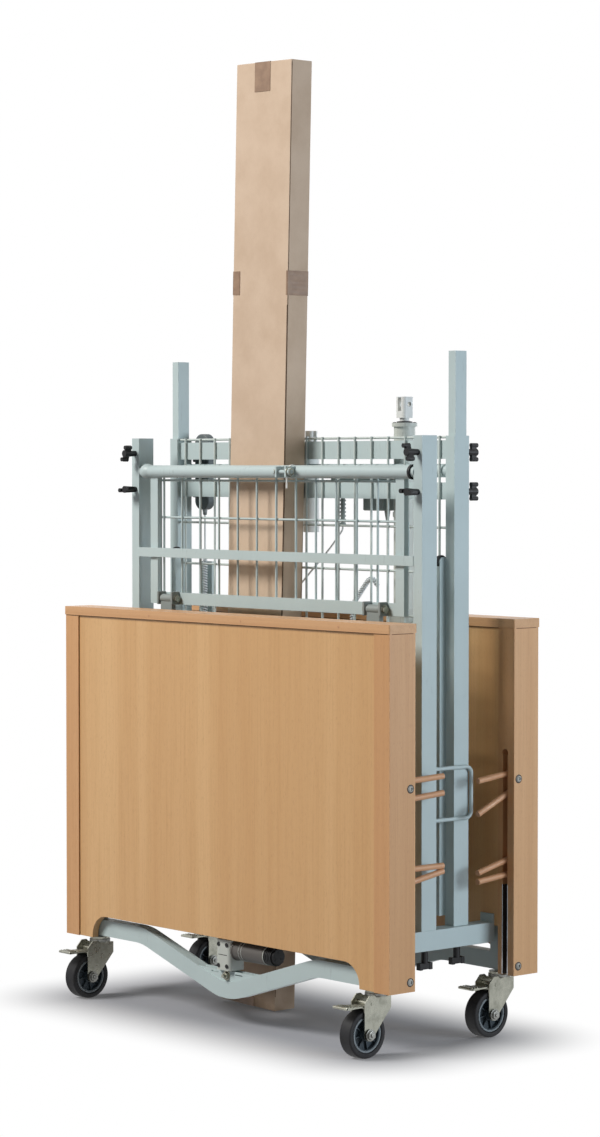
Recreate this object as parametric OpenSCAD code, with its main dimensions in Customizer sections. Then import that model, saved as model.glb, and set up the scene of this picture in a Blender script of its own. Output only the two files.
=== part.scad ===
// Adjustable care bed, taken apart and packed upright on its own castors.
// Millimetres. +Z is up, X runs across the end boards, -Y is the front.

/* [End boards] */
// Width of an end board
board_w = 1040; // [980:1:1100]
// Height of an end board below its cap
board_h = 695; // [660:1:740]
// Depth of an end board
board_depth = 68; // [64:1:76]
// Clear gap between the two end boards
board_gap = 268; // [264:1:310]
// Width of a corner post
post_w = 45; // [41:1:50]
// Thickness of the outer and inner panels
panel_t = 16; // [14:1:17]
// Set-back of the panels behind the post faces
panel_recess = 3; // [1:0.5:4]
// Thickness of the cap
cap_t = 18; // [14:1:24]
// Overhang of the cap past the board
cap_lip = 2; // [1:0.5:4]
// Rise of the arch under the outer panel
arch_h = 49; // [40:1:60]
// Width of the foot beside the arch
arch_foot = 90; // [80:1:110]
// Corner radius of the arch
arch_r = 45; // [20:1:48]
// Height of the inner panel's edge above the board's foot
inner_rise = 95; // [85:1:110]

/* [Board bolts] */
// Diameter of a bolt head
bolt_head_d = 14; // [11:0.5:18]
// Height of a bolt head
bolt_head_h = 3; // [2:0.5:4]
// Shank diameter of a bolt
bolt_d = 6; // [5:0.5:8]
// Distance of the bolts from the board's inner face
bolt_inset = 13; // [10:1:18]
// Height of the lower bolts above the board's foot
bolt_low = 19; // [16:1:30]
// Height of the upper bolts above the board's foot
bolt_high = 394; // [360:1:420]

/* [Side rail guides] */
// Play of a dowel in its groove
dowel_play = 0.5; // [0.3:0.1:1]
// Depth of the groove
groove_d = 22; // [18:1:26]
// Height of the groove's top above the board's foot
groove_top = 445; // [430:1:460]
// Diameter of a guide dowel
dowel_d = 12; // [9:0.5:14]
// Reach of the front dowels out of their post
dowel_front = 97; // [80:1:105]
// Reach of the rear dowels out of their post
dowel_rear = 76; // [60:1:90]
// Heights of the four dowels above the board's foot
dowel_z = [405, 369, 234, 203];
// Droop of the four front dowels in degrees
droop_front = [-2.5, -4, 0, -10];
// Droop of the four rear dowels in degrees
droop_rear = [7, 24, 14, 6];
// Play of the guide in its groove
guide_play = 0.4; // [0.3:0.1:0.8]

/* [Chassis] */
// Height of the bent crossbar's section
bar_h = 35; // [30:1:38]
// Depth of the bent crossbar's section
bar_d = 25; // [20:1:26]
// Wall of the steel tubes
tube_wall = 2; // [1.5:0.1:2.5]
// Drop of the crossbar from its ends to its middle
bar_drop = 87; // [75:1:92]
// Distance of the crossbar's bends from the middle
bar_bend_x = 280; // [250:1:300]
// Bend radius of the crossbar's centre line
bar_bend_r = 150; // [100:5:160]
// Set-in of the legs and castors from the boards' sides
leg_inset = 75; // [70:1:82]
// Play between a leg and the panels beside it
leg_play = 2; // [1:0.5:3]
// Distance of the leg tops below the cap
leg_short = 30; // [20:1:60]
// Width of the gusset plates in the bend
gusset_w = 190; // [160:1:210]
// Thickness of a gusset plate
gusset_t = 4; // [3:0.5:5]

/* [Lift actuators] */
// Width of the gearbox
gear_w = 46; // [42:1:52]
// Depth of the gearbox
gear_d = 42; // [40:1:46]
// Diameter of the motor
motor_d = 40; // [34:1:42]
// Length of the motor past the gearbox
motor_len = 130; // [110:1:140]
// Diameter of the lift rod
lift_rod_d = 18; // [14:1:19]
// Play between the lift tube and the panels
lift_play = 1; // [0.5:0.5:1.5]
// Length of the lift tube above the gearbox
lift_tube_len = 530; // [500:1:550]
// Diameter of the pins through the actuators' lugs
pin_d = 8; // [6:0.5:10]

/* [Castors] */
// Wheel diameter
wheel_d = 94; // [88:1:104]
// Wheel width
wheel_w = 32; // [28:1:36]
// Outer diameter of the hub
hub_d = 72; // [64:1:76]
// Height of the castor above its wheel
crown_h = 37; // [36:1:44]
// Trail of the wheel behind the swivel
trail = 36; // [32:1:40]
// Thickness of the fork's sheet
fork_t = 2.5; // [2:0.5:3.5]
// Reach of the brake pedal from the swivel
pedal_reach = 95; // [90:1:105]
// Width of the brake pedal
pedal_w = 34; // [30:1:35]
// Diameter of the swivel stem
stem_d = 16; // [12:1:18]
// Diameter of the wheel axle
axle_d = 8; // [6:0.5:10]
// Radial clearance of the turning and sliding fits
run_fit = 0.05; // [0.03:0.01:0.08]

/* [Storage brackets] */
// Height of the brackets above the board's foot
bracket_rise = 62; // [58:1:70]
// Height of a bracket's section
bracket_h = 40; // [34:1:46]
// Height of the brackets' end plates
bracket_plate_h = 57; // [50:1:70]
// Thickness of the brackets' end plates
bracket_plate_t = 5; // [4:0.5:6]
// Height of the pegs that the bed halves stand on
peg_h = 54; // [40:1:70]
// Play of a bed half's tube on its peg
peg_play = 1; // [0.5:0.5:2]

/* [Bed halves] */
// Set-in of the foot half from the boards' sides
foot_inset = 57; // [55:0.5:59]
// Set-in of the head half from the boards' sides
head_inset = 68; // [67.5:0.5:71]
// Width of a side tube
tube_w = 25; // [24:1:28]
// Depth of a side tube
tube_d = 40; // [36:1:44]
// Length of the side tubes
half_len = 975; // [960:1:1000]
// Gap from the front board to the foot half
foot_gap = 70; // [66:1:74]
// Gap from the rear board to the head half
head_gap = 60; // [56:1:62]
// Length of the joining stubs on the head half
stub_len = 168; // [140:1:190]
// Diameter of the mesh wires
wire_d = 5; // [4:0.5:6]
// Diameter of the torsion tubes
torsion_d = 27; // [24:1:30]
// Distance of the foot torsion tube below the tube tops
torsion_drop = 72; // [68:1:80]
// Distance of the thigh rest's lower bar below the torsion tube
thigh_len = 273; // [260:1:290]
// Gap from the foot half's tubes to the thigh rest's side bars
thigh_gap = 33; // [30:1:42]
// Width of the rests' bars
rest_bar_w = 25; // [20:1:28]
// Depth of the rests' bars
rest_bar_d = 12; // [10:1:14]
// Pitch of the foot half's upright wires
foot_pitch = 62.5; // [60:0.5:65]
// Pitch of the head half's upright wires
head_pitch = 50.5; // [49:0.5:50.5]
// Pitch of the head half's level wires
head_rows = 90; // [80:1:100]

/* [Screws and knobs] */
// Span of a wing screw's wings
wing_span = 36; // [28:1:44]
// Reach of a wing screw out of its tube
wing_reach = 30; // [24:1:36]
// Diameter of the screws' threads
screw_d = 8; // [6:0.5:10]
// Diameter of a bracket knob
knob_d = 34; // [28:1:38]

/* [Bed actuators and controls] */
// Diameter of the backrest actuator
back_act_d = 44; // [40:1:48]
// Stroke of the backrest actuator
back_stroke = 200; // [160:5:240]
// Diameter of the thigh actuator
thigh_act_d = 34; // [30:1:38]
// Stroke of the thigh actuator
thigh_stroke = 100; // [80:5:110]
// Diameter of the actuators' rods
act_rod_d = 20; // [16:1:22]
// Height of the backrest actuator's rod end
rod_head_h = 43; // [38:1:48]
// Width of the backrest actuator's rod end
rod_head_w = 28; // [26:1:32]
// Depth of the backrest actuator's rod end
rod_head_d = 28; // [26:1:32]
// Length of the rods that stays in the actuators at full stroke
rod_stay = 30; // [20:1:40]
// Length of the backrest actuator's body behind its rod
act_tail = 210; // [180:5:220]
// Length of the backrest actuator's motor
act_motor_len = 75; // [60:1:85]
// Diameter of the backrest actuator's motor
act_motor_d = 42; // [36:1:44]
// Bore in the actuators' rod ends
eye_bore_d = 10; // [8:0.5:12]
// Width of the handset
handset_w = 48; // [44:1:56]
// Length of the handset
handset_len = 166; // [150:1:180]
// Thickness of the handset
handset_t = 20; // [18:1:26]
// Width of the control box
box_w = 165; // [150:1:168]
// Depth of the control box
box_d = 40; // [34:1:46]

/* [Mattress brackets] */
// Diameter of a mattress bracket's wire
hoop_d = 8; // [6:0.5:8]
// Height of a mattress bracket
hoop_h = 110; // [90:1:130]
// Reach of a mattress bracket out of its tube
hoop_out = 105; // [90:1:112]
// Height of a mattress bracket above the tube's foot
hoop_rise = 211; // [190:1:240]
// Bend radius of a mattress bracket
hoop_r = 14; // [10:1:18]

/* [Carton] */
// Width of the carton
carton_w = 177; // [170:1:186]
// Thickness of the carton
carton_t = 56; // [50:1:57]
// Length of the carton
carton_h = 1986; // [1900:2:2040]
// Wall of the carton
carton_wall = 4; // [3:0.5:5]
// Lean of the carton in degrees
carton_lean = 1.62; // [1:0.02:1.8]
// Place of the carton's foot across the boards
carton_x = -123.5; // [-150:0.5:-110]

/* [Cords] */
// Diameter of a cord
cord_d = 3.8; // [3:0.1:4]
// Diameter of a curl's centre line
curl_d = 8; // [7:0.5:10]
// Curls of the handset cord
handset_curls = 36; // [20:1:40]
// Curls of the motor cord
motor_curls = 30; // [26:1:32]
// Pitch of the curls
curl_pitch = 5.6; // [5.5:0.1:6]

/* [Hidden] */
$fn = 48;
e = 0.5;

// Heights
castor_h = wheel_d + crown_h;
base_z = castor_h;
top_z = base_z + board_h;
bar_z = castor_h + 3 + bar_h / 2;
bracket_z = base_z + bracket_rise;
seat_gap = 0.2;
half_z = bracket_z + bracket_h + seat_gap;
half_top = half_z + half_len;

// Depths
mid_y = (pedal_reach - board_depth / 2 - cap_lip) / 2;
front_y = mid_y - board_gap / 2 - board_depth;
rear_y = mid_y + board_gap / 2 + board_depth;
foot_y = front_y + board_depth + foot_gap;
head_y = rear_y - board_depth - head_gap - tube_d;
front_axis_y = front_y + board_depth / 2;
rear_axis_y = rear_y - board_depth / 2;
cavity = board_depth - 2 * (panel_recess + panel_t);
leg_w = cavity - 2 * leg_play;
post_x = board_w / 2 - post_w;
leg_x = board_w / 2 - leg_inset;
groove_w = dowel_d + 2 * dowel_play;
groove_x = board_w / 2 - post_w / 2 - 2.5;

// Bed halves
foot_half_w = board_w - 2 * foot_inset;
head_half_w = board_w - 2 * head_inset;
foot_tube_x = foot_half_w / 2 - tube_w / 2;
head_tube_x = head_half_w / 2 - tube_w / 2;
thigh_x = foot_tube_x - tube_w / 2 - thigh_gap;
hinge_x = thigh_x - 74;
torsion_y = foot_y + 9;
torsion_z = half_top - torsion_drop;
pivot_d = 16;
rest_y = torsion_y - 3;
thigh_low_z = torsion_z - thigh_len;
hinge_y = rest_y - 9;
head_wire_y = head_y + 5;
head_bar_y = head_wire_y + wire_d / 2 + 0.3;
head_bar_d = 28;
head_back_y = head_bar_y + head_bar_d;
bar1_top = half_top - 9;
bar1_h = 37;
bar2_top = half_top - 93;
bar2_h = 34;
screw_drops = [33, 111];
act_y = head_back_y + 24.2;
back_act_x = 242;
thigh_act_x = -48;
box_x = 40;
box_low_w = 64;
box_top = bar2_top + 8;
box_z = bar2_top - bar2_h + 3;
box_low_z = box_z - 28;
handset_x = 64 - head_half_w / 2;
handset_z = half_top - 156;
cord_y = head_back_y + box_d / 2;
handset_cord_y = head_back_y + handset_t / 2 + 0.5;

// Carton
carton_back_y = head_wire_y - wire_d / 2 - 0.4;
carton_z = carton_w / 2 * sin(carton_lean) + 3;

steel = [0.78, 0.84, 0.84];
beech = [0.80, 0.63, 0.43];
zinc = [0.72, 0.71, 0.67];
black = [0.09, 0.09, 0.10];

module at_front() translate([0, front_y, 0]) children();
module at_rear() translate([0, rear_y, 0]) mirror([0, 1, 0]) children();
module side(s) mirror([s < 0 ? 1 : 0, 0, 0]) children();
module both_sides() for (s = [-1, 1]) side(s) children();
module along_x(len, d) rotate([0, 90, 0]) cylinder(h = len, d = d, center = true);
module along_y(len, d) rotate([-90, 0, 0]) cylinder(h = len, d = d);

// Rectangle with rounded corners, as plain squares and circles
module round_rect(w, h, r) {
  square([w - 2 * r, h], center = true);
  square([w, h - 2 * r], center = true);
  for (x = [-1, 1], y = [-1, 1]) translate([x * (w / 2 - r), y * (h / 2 - r)]) circle(r);
}

// Upright rectangular tube, its foot centred on the origin
module box_tube(w, d, h, wall = tube_wall) {
  difference() {
    translate([-w / 2, -d / 2, 0]) cube([w, d, h]);
    translate([-w / 2 + wall, -d / 2 + wall, -1]) cube([w - 2 * wall, d - 2 * wall, h + 2]);
  }
}

// End boards, drawn with the outer face on y = 0 and the inner face on y = board_depth
module arch_cut() {
  a = board_w / 2 - arch_foot;
  r = min(arch_r, arch_h - 1);
  translate([-a, base_z - e]) square([2 * a, arch_h - r + e]);
  translate([r - a, base_z - e]) square([2 * (a - r), arch_h + e]);
  for (s = [-1, 1]) translate([s * (a - r), base_z + arch_h - r]) circle(r);
}

module outer_panel() {
  color(beech) translate([0, panel_recess + panel_t, 0]) rotate([90, 0, 0]) linear_extrude(panel_t)
    difference() {
      translate([-post_x, base_z]) square([2 * post_x, board_h]);
      arch_cut();
    }
}

module inner_panel() {
  color(beech) translate([-post_x, board_depth - panel_recess - panel_t, base_z + inner_rise])
    cube([2 * post_x, panel_t, board_h - inner_rise]);
}

bolt_len = board_w / 2 - groove_x - groove_w / 2 - 4;
module at_bolts() for (z = [bolt_low, bolt_high])
  translate([board_w / 2, board_depth - bolt_inset, base_z + z]) rotate([0, 90, 0]) children();

module post() {
  color(beech) difference() {
    translate([post_x, 0, base_z]) cube([post_w, board_depth, board_h]);
    translate([groove_x - groove_w / 2, board_depth - groove_d, base_z - e])
      cube([groove_w, groove_d + e, groove_top + e]);
    translate([groove_x, board_depth - groove_d, base_z + groove_top]) along_y(groove_d + e, groove_w + 3);
    at_bolts() translate([0, 0, -bolt_len - 1]) cylinder(h = bolt_len + 2, d = bolt_d + 0.2);
  }
}

module cap() {
  color(beech) translate([0, board_depth / 2, top_z]) linear_extrude(cap_t)
    round_rect(board_w + 2 * cap_lip, board_depth + 2 * cap_lip, 3);
}

module bolts() {
  color(zinc) both_sides() at_bolts() {
    cylinder(h = bolt_head_h, d1 = bolt_head_d, d2 = bolt_head_d - 4);
    translate([0, 0, -bolt_len]) cylinder(h = bolt_len + e, d = bolt_d);
  }
}
module board_bolts() { at_front() bolts(); at_rear() bolts(); }

// Guide in a post's groove, with the dowels that the side rails plug onto
module rail_guide(reach, droop) {
  root_y = board_depth - groove_d + guide_play;
  strip_w = groove_w - 2 * guide_play;
  low = min(dowel_z) - dowel_d;
  color([0.80, 0.58, 0.44]) {
    translate([groove_x - strip_w / 2, root_y, base_z + low])
      cube([strip_w, 8, max(dowel_z) + dowel_d - low]);
    for (i = [0:3]) translate([groove_x, root_y + 4, base_z + dowel_z[i]])
      rotate([-90 - droop[i], 0, 0])
        cylinder(h = (board_depth + reach - root_y - 4) / cos(droop[i]), d = dowel_d);
  }
}

// Bent crossbar: centre line points as [x, z, slope], from the middle out to one end
slope = atan2(bar_drop, bar_bend_x);
apex_z = bar_z - bar_drop + bar_bend_r * (1 / cos(slope) - 1);
shoulder_x = bar_bend_x + bar_bend_r * tan(slope / 2);
bar_end_x = leg_x + leg_w / 2 + 2;
function half_line(end_x) = concat(
  [for (i = [1:6]) let (f = slope * i / 6) [bar_bend_r * sin(f), apex_z + bar_bend_r * (1 - cos(f)), f]],
  [for (i = [0:6]) let (f = slope * (1 - i / 6))
    [shoulder_x - bar_bend_r * sin(f), bar_z - bar_bend_r * (1 - cos(f)), f]],
  [[end_x, bar_z, 0]]);
function full_line(end_x) = let (h = half_line(end_x), n = len(h)) concat(
  [for (i = [n - 1:-1:0]) [-h[i][0], h[i][1], -h[i][2]]], [[0, apex_z, 0]], h);
function offset_line(line, d) = [for (p = line) [p[0] - d * sin(p[2]), p[1] + d * cos(p[2])]];
function outline(line, d) = let (low = offset_line(line, -d), n = len(low))
  concat(offset_line(line, d), [for (i = [n - 1:-1:0]) low[i]]);
module bent_bar(end_x, h, d) translate([0, (board_depth + d) / 2, 0]) rotate([90, 0, 0])
  linear_extrude(d) polygon(outline(full_line(end_x), h / 2));

pin_z = apex_z + bar_h / 2 + 12;
gusset_gap = 12;
socket_d = stem_d + 8;
fork_z = castor_h - 17;
stem_head_h = 3.8;
stem_gap = 0.2;
module chassis() {
  leg_h = top_z - leg_short - bar_z - bar_h / 2 + 1;
  color(steel) {
    difference() {
      bent_bar(bar_end_x, bar_h, bar_d);
      bent_bar(bar_end_x + 1, bar_h - 2 * tube_wall, bar_d - 2 * tube_wall);
    }
    for (s = [-1, 1]) {
      translate([s * leg_x, board_depth / 2, bar_z + bar_h / 2 - 1]) box_tube(leg_w, leg_w, leg_h);
      translate([s * leg_x, board_depth / 2, castor_h + 1.5]) cylinder(h = bar_h + 1, d = socket_d);
      translate([s * leg_x, board_depth / 2, fork_z - stem_gap - stem_head_h]) {
        cylinder(h = castor_h - fork_z + 12, d = stem_d);
        cylinder(h = stem_head_h, d = stem_d + 6);
      }
      translate([0, board_depth / 2 + s * (gusset_gap + gusset_t) / 2 + gusset_t / 2, 0])
        rotate([90, 0, 0])
        linear_extrude(gusset_t) difference() {
          polygon([[-gusset_w / 2, pin_z + 10], [gusset_w / 2, pin_z + 10], [gusset_w / 2, apex_z + 26],
            [0, pin_z - 20], [-gusset_w / 2, apex_z + 26]]);
          for (t = [-1, 1]) translate([t * 38, pin_z + 4]) square([24, 2.5], center = true);
        }
    }
    translate([0, (board_depth - gusset_gap) / 2 - gusset_t - 3, pin_z])
      along_y(gusset_gap + 2 * gusset_t + 6, pin_d);
  }
}

// Lift actuator: lug, gearbox, motor and outer tube
gear_z = pin_z + 12;
gear_top = base_z + arch_h - 4;
lift_tube_d = cavity - 2 * lift_play;
motor_z = gear_top - motor_d / 2;
module lift_actuator() {
  color([0.82, 0.83, 0.81]) translate([0, board_depth / 2, 0]) difference() {
    union() {
      translate([-10, -gusset_gap / 2 + 0.4, pin_z - 8])
        cube([20, gusset_gap - 0.8, gear_z - pin_z + 8 + e]);
      translate([0, 0, gear_z]) linear_extrude(gear_top - gear_z) round_rect(gear_w, gear_d, 9);
      translate([gear_w / 2 - 1, 0, motor_z]) rotate([0, 90, 0]) cylinder(h = motor_len - 26, d = motor_d);
      for (i = [0:4]) translate([gear_w / 2 + motor_len - 28 + 5 * i, 0, motor_z])
        rotate([0, 90, 0]) cylinder(h = 3, d = motor_d - 2);
      translate([gear_w / 2 + motor_len - 28, 0, motor_z]) rotate([0, 90, 0])
        cylinder(h = 28, d = motor_d - 8);
      translate([0, 0, gear_top - e]) cylinder(h = lift_tube_len + e, d = lift_tube_d);
    }
    translate([0, 0, gear_top + 5]) cylinder(h = lift_tube_len, d = lift_rod_d + 2 * run_fit);
    translate([0, -board_depth / 2, pin_z]) along_y(board_depth, pin_d + 0.2);
  }
}

// Lift rod, hung from a plate under the cap
module lift_rod() {
  color([0.75, 0.76, 0.78]) translate([0, board_depth / 2, 0]) {
    translate([0, 0, gear_top + 45]) cylinder(h = top_z - gear_top - 45, d = lift_rod_d);
    translate([-30, -cavity / 2 + e, top_z - 6]) cube([60, cavity - 2 * e, 6]);
  }
}

// Castors, drawn with the swivel axis on x = y = 0 and the floor on z = 0
fork_in = wheel_w / 2 + 2;
pedal_y = -29;
pedal_z = castor_h - 25;
pedal_pin_d = 6;
module at_castor(x, y) translate([x * leg_x, y, 0]) children();
module fork() {
  r = wheel_d / 2;
  color(zinc) {
    difference() {
      union() {
        translate([0, 0, castor_h - 14]) cylinder(h = 13, d = 42);
        translate([-fork_in - fork_t, -19, fork_z]) cube([2 * (fork_in + fork_t), 40, 4]);
      }
      translate([0, 0, fork_z - 1]) cylinder(h = castor_h - fork_z + 1, d = stem_d + 2 * run_fit);
    }
    for (s = [-1, 1]) translate([s * (fork_in + fork_t / 2), 0, 0]) rotate([90, 0, 90])
      linear_extrude(fork_t, center = true) {
        polygon([[-trail - 12, r], [-trail - 12, castor_h - 22], [-35, castor_h - 8], [-23, castor_h - 8],
          [-17, castor_h - 13], [21, castor_h - 13], [21, castor_h - 36], [-trail + 11, r - 5]]);
        translate([-trail, r]) circle(12);
      }
    translate([0, -trail, r]) {
      along_x(2 * (fork_in + fork_t) + 6, axle_d);
      for (s = [-1, 1]) translate([s * (fork_in + fork_t + 2), 0, 0]) along_x(4, axle_d + 7);
    }
    translate([0, pedal_y, pedal_z]) along_x(2 * (fork_in + fork_t) + 2, pedal_pin_d);
  }
}
module at_wheel() translate([0, -trail, wheel_d / 2]) rotate([0, 90, 0]) children();
module tyre() {
  t = (wheel_d - hub_d) / 2;
  color(black) at_wheel() rotate_extrude($fn = 72)
    translate([hub_d / 2 + t / 2, 0]) round_rect(t, wheel_w, 4);
}
module hub() {
  rim = hub_d / 2 - 0.05;
  bore = axle_d / 2 + run_fit;
  color([0.32, 0.34, 0.36]) at_wheel() rotate_extrude($fn = 72) {
    translate([rim - 6, -wheel_w / 2 + 3]) square([6, wheel_w - 6]);
    translate([bore, -4]) square([rim - bore - 1, 8]);
    translate([bore, 0.5 - fork_in]) square([7, 2 * fork_in - 1]);
  }
}
module pedal() {
  color(zinc) difference() {
    union() {
      translate([0, pedal_y, pedal_z]) along_x(pedal_w, 10);
      translate([-pedal_w / 2, -pedal_reach, pedal_z - 5]) cube([pedal_w, pedal_reach + pedal_y, 3]);
      translate([-pedal_w / 2 - 3, -pedal_reach, pedal_z - 5]) cube([pedal_w + 6, 20, 4]);
      for (i = [0:2]) translate([-pedal_w / 2, -pedal_reach + 2 + 7 * i, pedal_z - 5])
        cube([pedal_w, 2.5, 6]);
    }
    translate([0, pedal_y, pedal_z]) along_x(pedal_w + 2, pedal_pin_d + 2 * run_fit);
  }
}

// Storage brackets between the end boards, with a peg for each bed half's tube
bracket_x0 = head_half_w / 2 - tube_w;
bracket_w = foot_half_w / 2 - bracket_x0;
bracket_y0 = front_y + board_depth - panel_recess;
bracket_y1 = rear_y - board_depth + panel_recess;
module at_pegs() {
  translate([foot_tube_x, foot_y + tube_d / 2, bracket_z]) children();
  translate([head_tube_x, head_y + tube_d / 2, bracket_z]) children();
}
module storage_bracket() {
  peg_w = tube_w - 2 * tube_wall - 2 * peg_play;
  peg_d = tube_d - 2 * tube_wall - 2 * peg_play;
  color(steel) {
    difference() {
      translate([bracket_x0, bracket_y0, bracket_z]) cube([bracket_w, bracket_y1 - bracket_y0, bracket_h]);
      translate([bracket_x0 + tube_wall, bracket_y0 + bracket_plate_t, bracket_z + tube_wall])
        cube([bracket_w - 2 * tube_wall, bracket_y1 - bracket_y0 - 2 * bracket_plate_t,
          bracket_h - 2 * tube_wall]);
      at_pegs() translate([0, 0, -1]) cylinder(h = tube_wall + 2, d = screw_d + 0.4);
    }
    for (y = [bracket_y0, bracket_y1 - bracket_plate_t])
      translate([bracket_x0, y, bracket_z]) cube([bracket_w, bracket_plate_t, bracket_plate_h]);
    at_pegs() translate([-peg_w / 2, -peg_d / 2, bracket_h - e]) cube([peg_w, peg_d, peg_h + e]);
  }
}
module bracket_knobs() {
  color(black) both_sides() at_pegs() {
    translate([0, 0, -12]) cylinder(h = 12 + bracket_h / 2, d = screw_d);
    translate([0, 0, -26]) cylinder(h = 26, d = screw_d + 6);
    translate([-5, -knob_d / 2, -37]) cube([10, knob_d, 12]);
    for (s = [-1, 1]) translate([-6, s * (knob_d / 2 - 4) - 4, -38]) cube([12, 8, 14]);
  }
}

// Wing screw: the thread points along +z and the tube wall is on z = 0
module wing_screw(turn) {
  color(black) {
    translate([0, 0, -6]) cylinder(h = 6 + tube_wall + 3, d = screw_d);
    rotate([0, 0, turn + 90]) translate([0, 0, -wing_reach - 1.5])
      cylinder(h = wing_reach + 1.5, d1 = screw_d + 7, d2 = screw_d + 4);
    rotate([0, 0, turn]) {
      translate([-wing_span / 2, -3.5, -wing_reach]) cube([wing_span, 7, 13]);
      for (s = [-1, 1]) translate([s * (wing_span / 2 - 4), 0, -wing_reach - 4]) cylinder(h = 17, d = 9);
    }
  }
}

// Foot half: side tubes, rest bar, end tube and the pivots of the thigh rest
foot_in_x = foot_tube_x - tube_w / 2;
hoop_x = foot_half_w / 2 - tube_wall - hoop_d / 2 - 0.5;
hoop_z = half_z + hoop_rise + hoop_d / 2;
hoop_pitch = hoop_h - hoop_d;
module foot_frame() {
  color(steel) {
    both_sides() {
      difference() {
        translate([foot_tube_x, foot_y + tube_d / 2, half_z]) box_tube(tube_w, tube_d, half_len);
        for (d = screw_drops) translate([foot_tube_x, foot_y - 1, half_top - d])
          along_y(tube_wall + 2, screw_d + 0.4);
        for (z = [0, hoop_pitch]) translate([hoop_x, foot_y + tube_d - tube_wall - 1, hoop_z + z])
          along_y(tube_wall + 2, hoop_d + 0.6);
      }
      translate([foot_in_x + e, torsion_y, torsion_z]) rotate([0, -90, 0]) {
        cylinder(h = 11 + e, d = pivot_d + 6);
        cylinder(h = 32, d = pivot_d);
      }
    }
    translate([-foot_in_x - e, rest_y - 7, torsion_z - 185]) cube([2 * (foot_in_x + e), 6, 20]);
    translate([-foot_in_x - e, foot_y + 8, half_z + 20]) cube([2 * (foot_in_x + e), 24, 25]);
  }
}
module foot_wing_screws() both_sides() for (i = [0, 1])
  translate([foot_tube_x, foot_y, half_top - screw_drops[i]]) rotate([-90, 0, 0])
    wing_screw(i == 0 ? 65 : 8);

// Upright and level wires of a rest, between two heights
wire_y = rest_y + rest_bar_d + wire_d / 2 - e;
wire_count = floor((thigh_x - rest_bar_w - 3) / foot_pitch);
module rest_wires(z0, z1, rows) {
  for (i = [-wire_count:wire_count]) translate([i * foot_pitch, wire_y, z0])
    cylinder(h = z1 - z0, d = wire_d, $fn = 8);
  for (z = rows) translate([0, wire_y + wire_d - 1, z]) rotate([0, 90, 0])
    cylinder(h = 2 * (thigh_x - 8), d = wire_d, center = true, $fn = 8);
}
module rest_bar(x0, x1, z0, z1) translate([x0, rest_y, z0]) cube([x1 - x0, rest_bar_d, z1 - z0]);

hinge_pin_d = 8;
torsion_half = foot_in_x - 12;
module thigh_rest() {
  color(steel) {
    difference() {
      union() {
        translate([0, torsion_y, torsion_z]) along_x(2 * torsion_half, torsion_d);
        both_sides() rest_bar(thigh_x - rest_bar_w, thigh_x, thigh_low_z, torsion_z - pivot_d / 2 - 1);
        rest_wires(thigh_low_z - 8, torsion_z - 5, [for (d = [19, 99, 179]) torsion_z - d]);
        for (x = [50, 80]) translate([x, torsion_y - 36, torsion_z - 11]) cube([5, 28, 22]);
      }
      translate([0, torsion_y, torsion_z]) along_x(2 * torsion_half + 2, pivot_d + 2 * run_fit);
    }
    translate([67.5, torsion_y - 27, torsion_z]) {
      along_x(52, pin_d);
      for (s = [-1, 1]) translate([s * 21, 0, 0]) along_x(7, pin_d + 8);
    }
    rest_bar(-thigh_x, thigh_x, thigh_low_z - rest_bar_w / 2, thigh_low_z + rest_bar_w / 2);
    both_sides() {
      for (x = [hinge_x - 26, hinge_x + 21]) translate([x, hinge_y - 11, thigh_low_z - 12])
        cube([5, rest_y + e - hinge_y + 11, 26]);
      translate([hinge_x, hinge_y, thigh_low_z]) along_x(58, hinge_pin_d);
      translate([thigh_x - 8, wire_y + wire_d - 1, torsion_z - 165]) cylinder(h = 66, d = wire_d, $fn = 8);
    }
  }
}
module calf_rest() {
  top = thigh_low_z - rest_bar_w / 2 - 17;
  low = half_z + 75;
  color(steel) {
    rest_bar(-thigh_x, thigh_x, top - rest_bar_w, top);
    rest_bar(-thigh_x, thigh_x, low, low + rest_bar_w);
    both_sides() {
      rest_bar(thigh_x - rest_bar_w, thigh_x, low, top);
      difference() {
        union() {
          translate([hinge_x, hinge_y, thigh_low_z]) along_x(38, hinge_pin_d + 10);
          translate([hinge_x - 19, hinge_y - 6, top - rest_bar_w]) {
            cube([38, 10, thigh_low_z - top + rest_bar_w]);
            cube([38, rest_y + e - hinge_y + 6, rest_bar_w]);
          }
        }
        translate([hinge_x, hinge_y, thigh_low_z]) along_x(60, hinge_pin_d + 2 * run_fit);
      }
    }
    rest_wires(low + 8, top - 8, [for (i = [1:5]) low + (top - low) * i / 6]);
  }
}

// Wire hoop that keeps the mattress in place, plugged into the foot half's side tube
module mattress_bracket() {
  far = foot_y + tube_d + hoop_out - hoop_d / 2;
  root = foot_y + tube_d - 34;
  color([0.80, 0.86, 0.84]) translate([hoop_x, 0, hoop_z]) {
    for (z = [0, hoop_pitch]) translate([0, root, z]) along_y(far - hoop_r - root, hoop_d);
    translate([0, far, hoop_r]) cylinder(h = hoop_pitch - 2 * hoop_r, d = hoop_d);
    for (a = [[-90, hoop_r], [0, hoop_pitch - hoop_r]]) translate([0, far - hoop_r, a[1]])
      rotate([90, 0, 90]) rotate([0, 0, a[0]]) rotate_extrude(angle = 90)
        translate([hoop_r, 0]) circle(d = hoop_d);
  }
}

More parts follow.
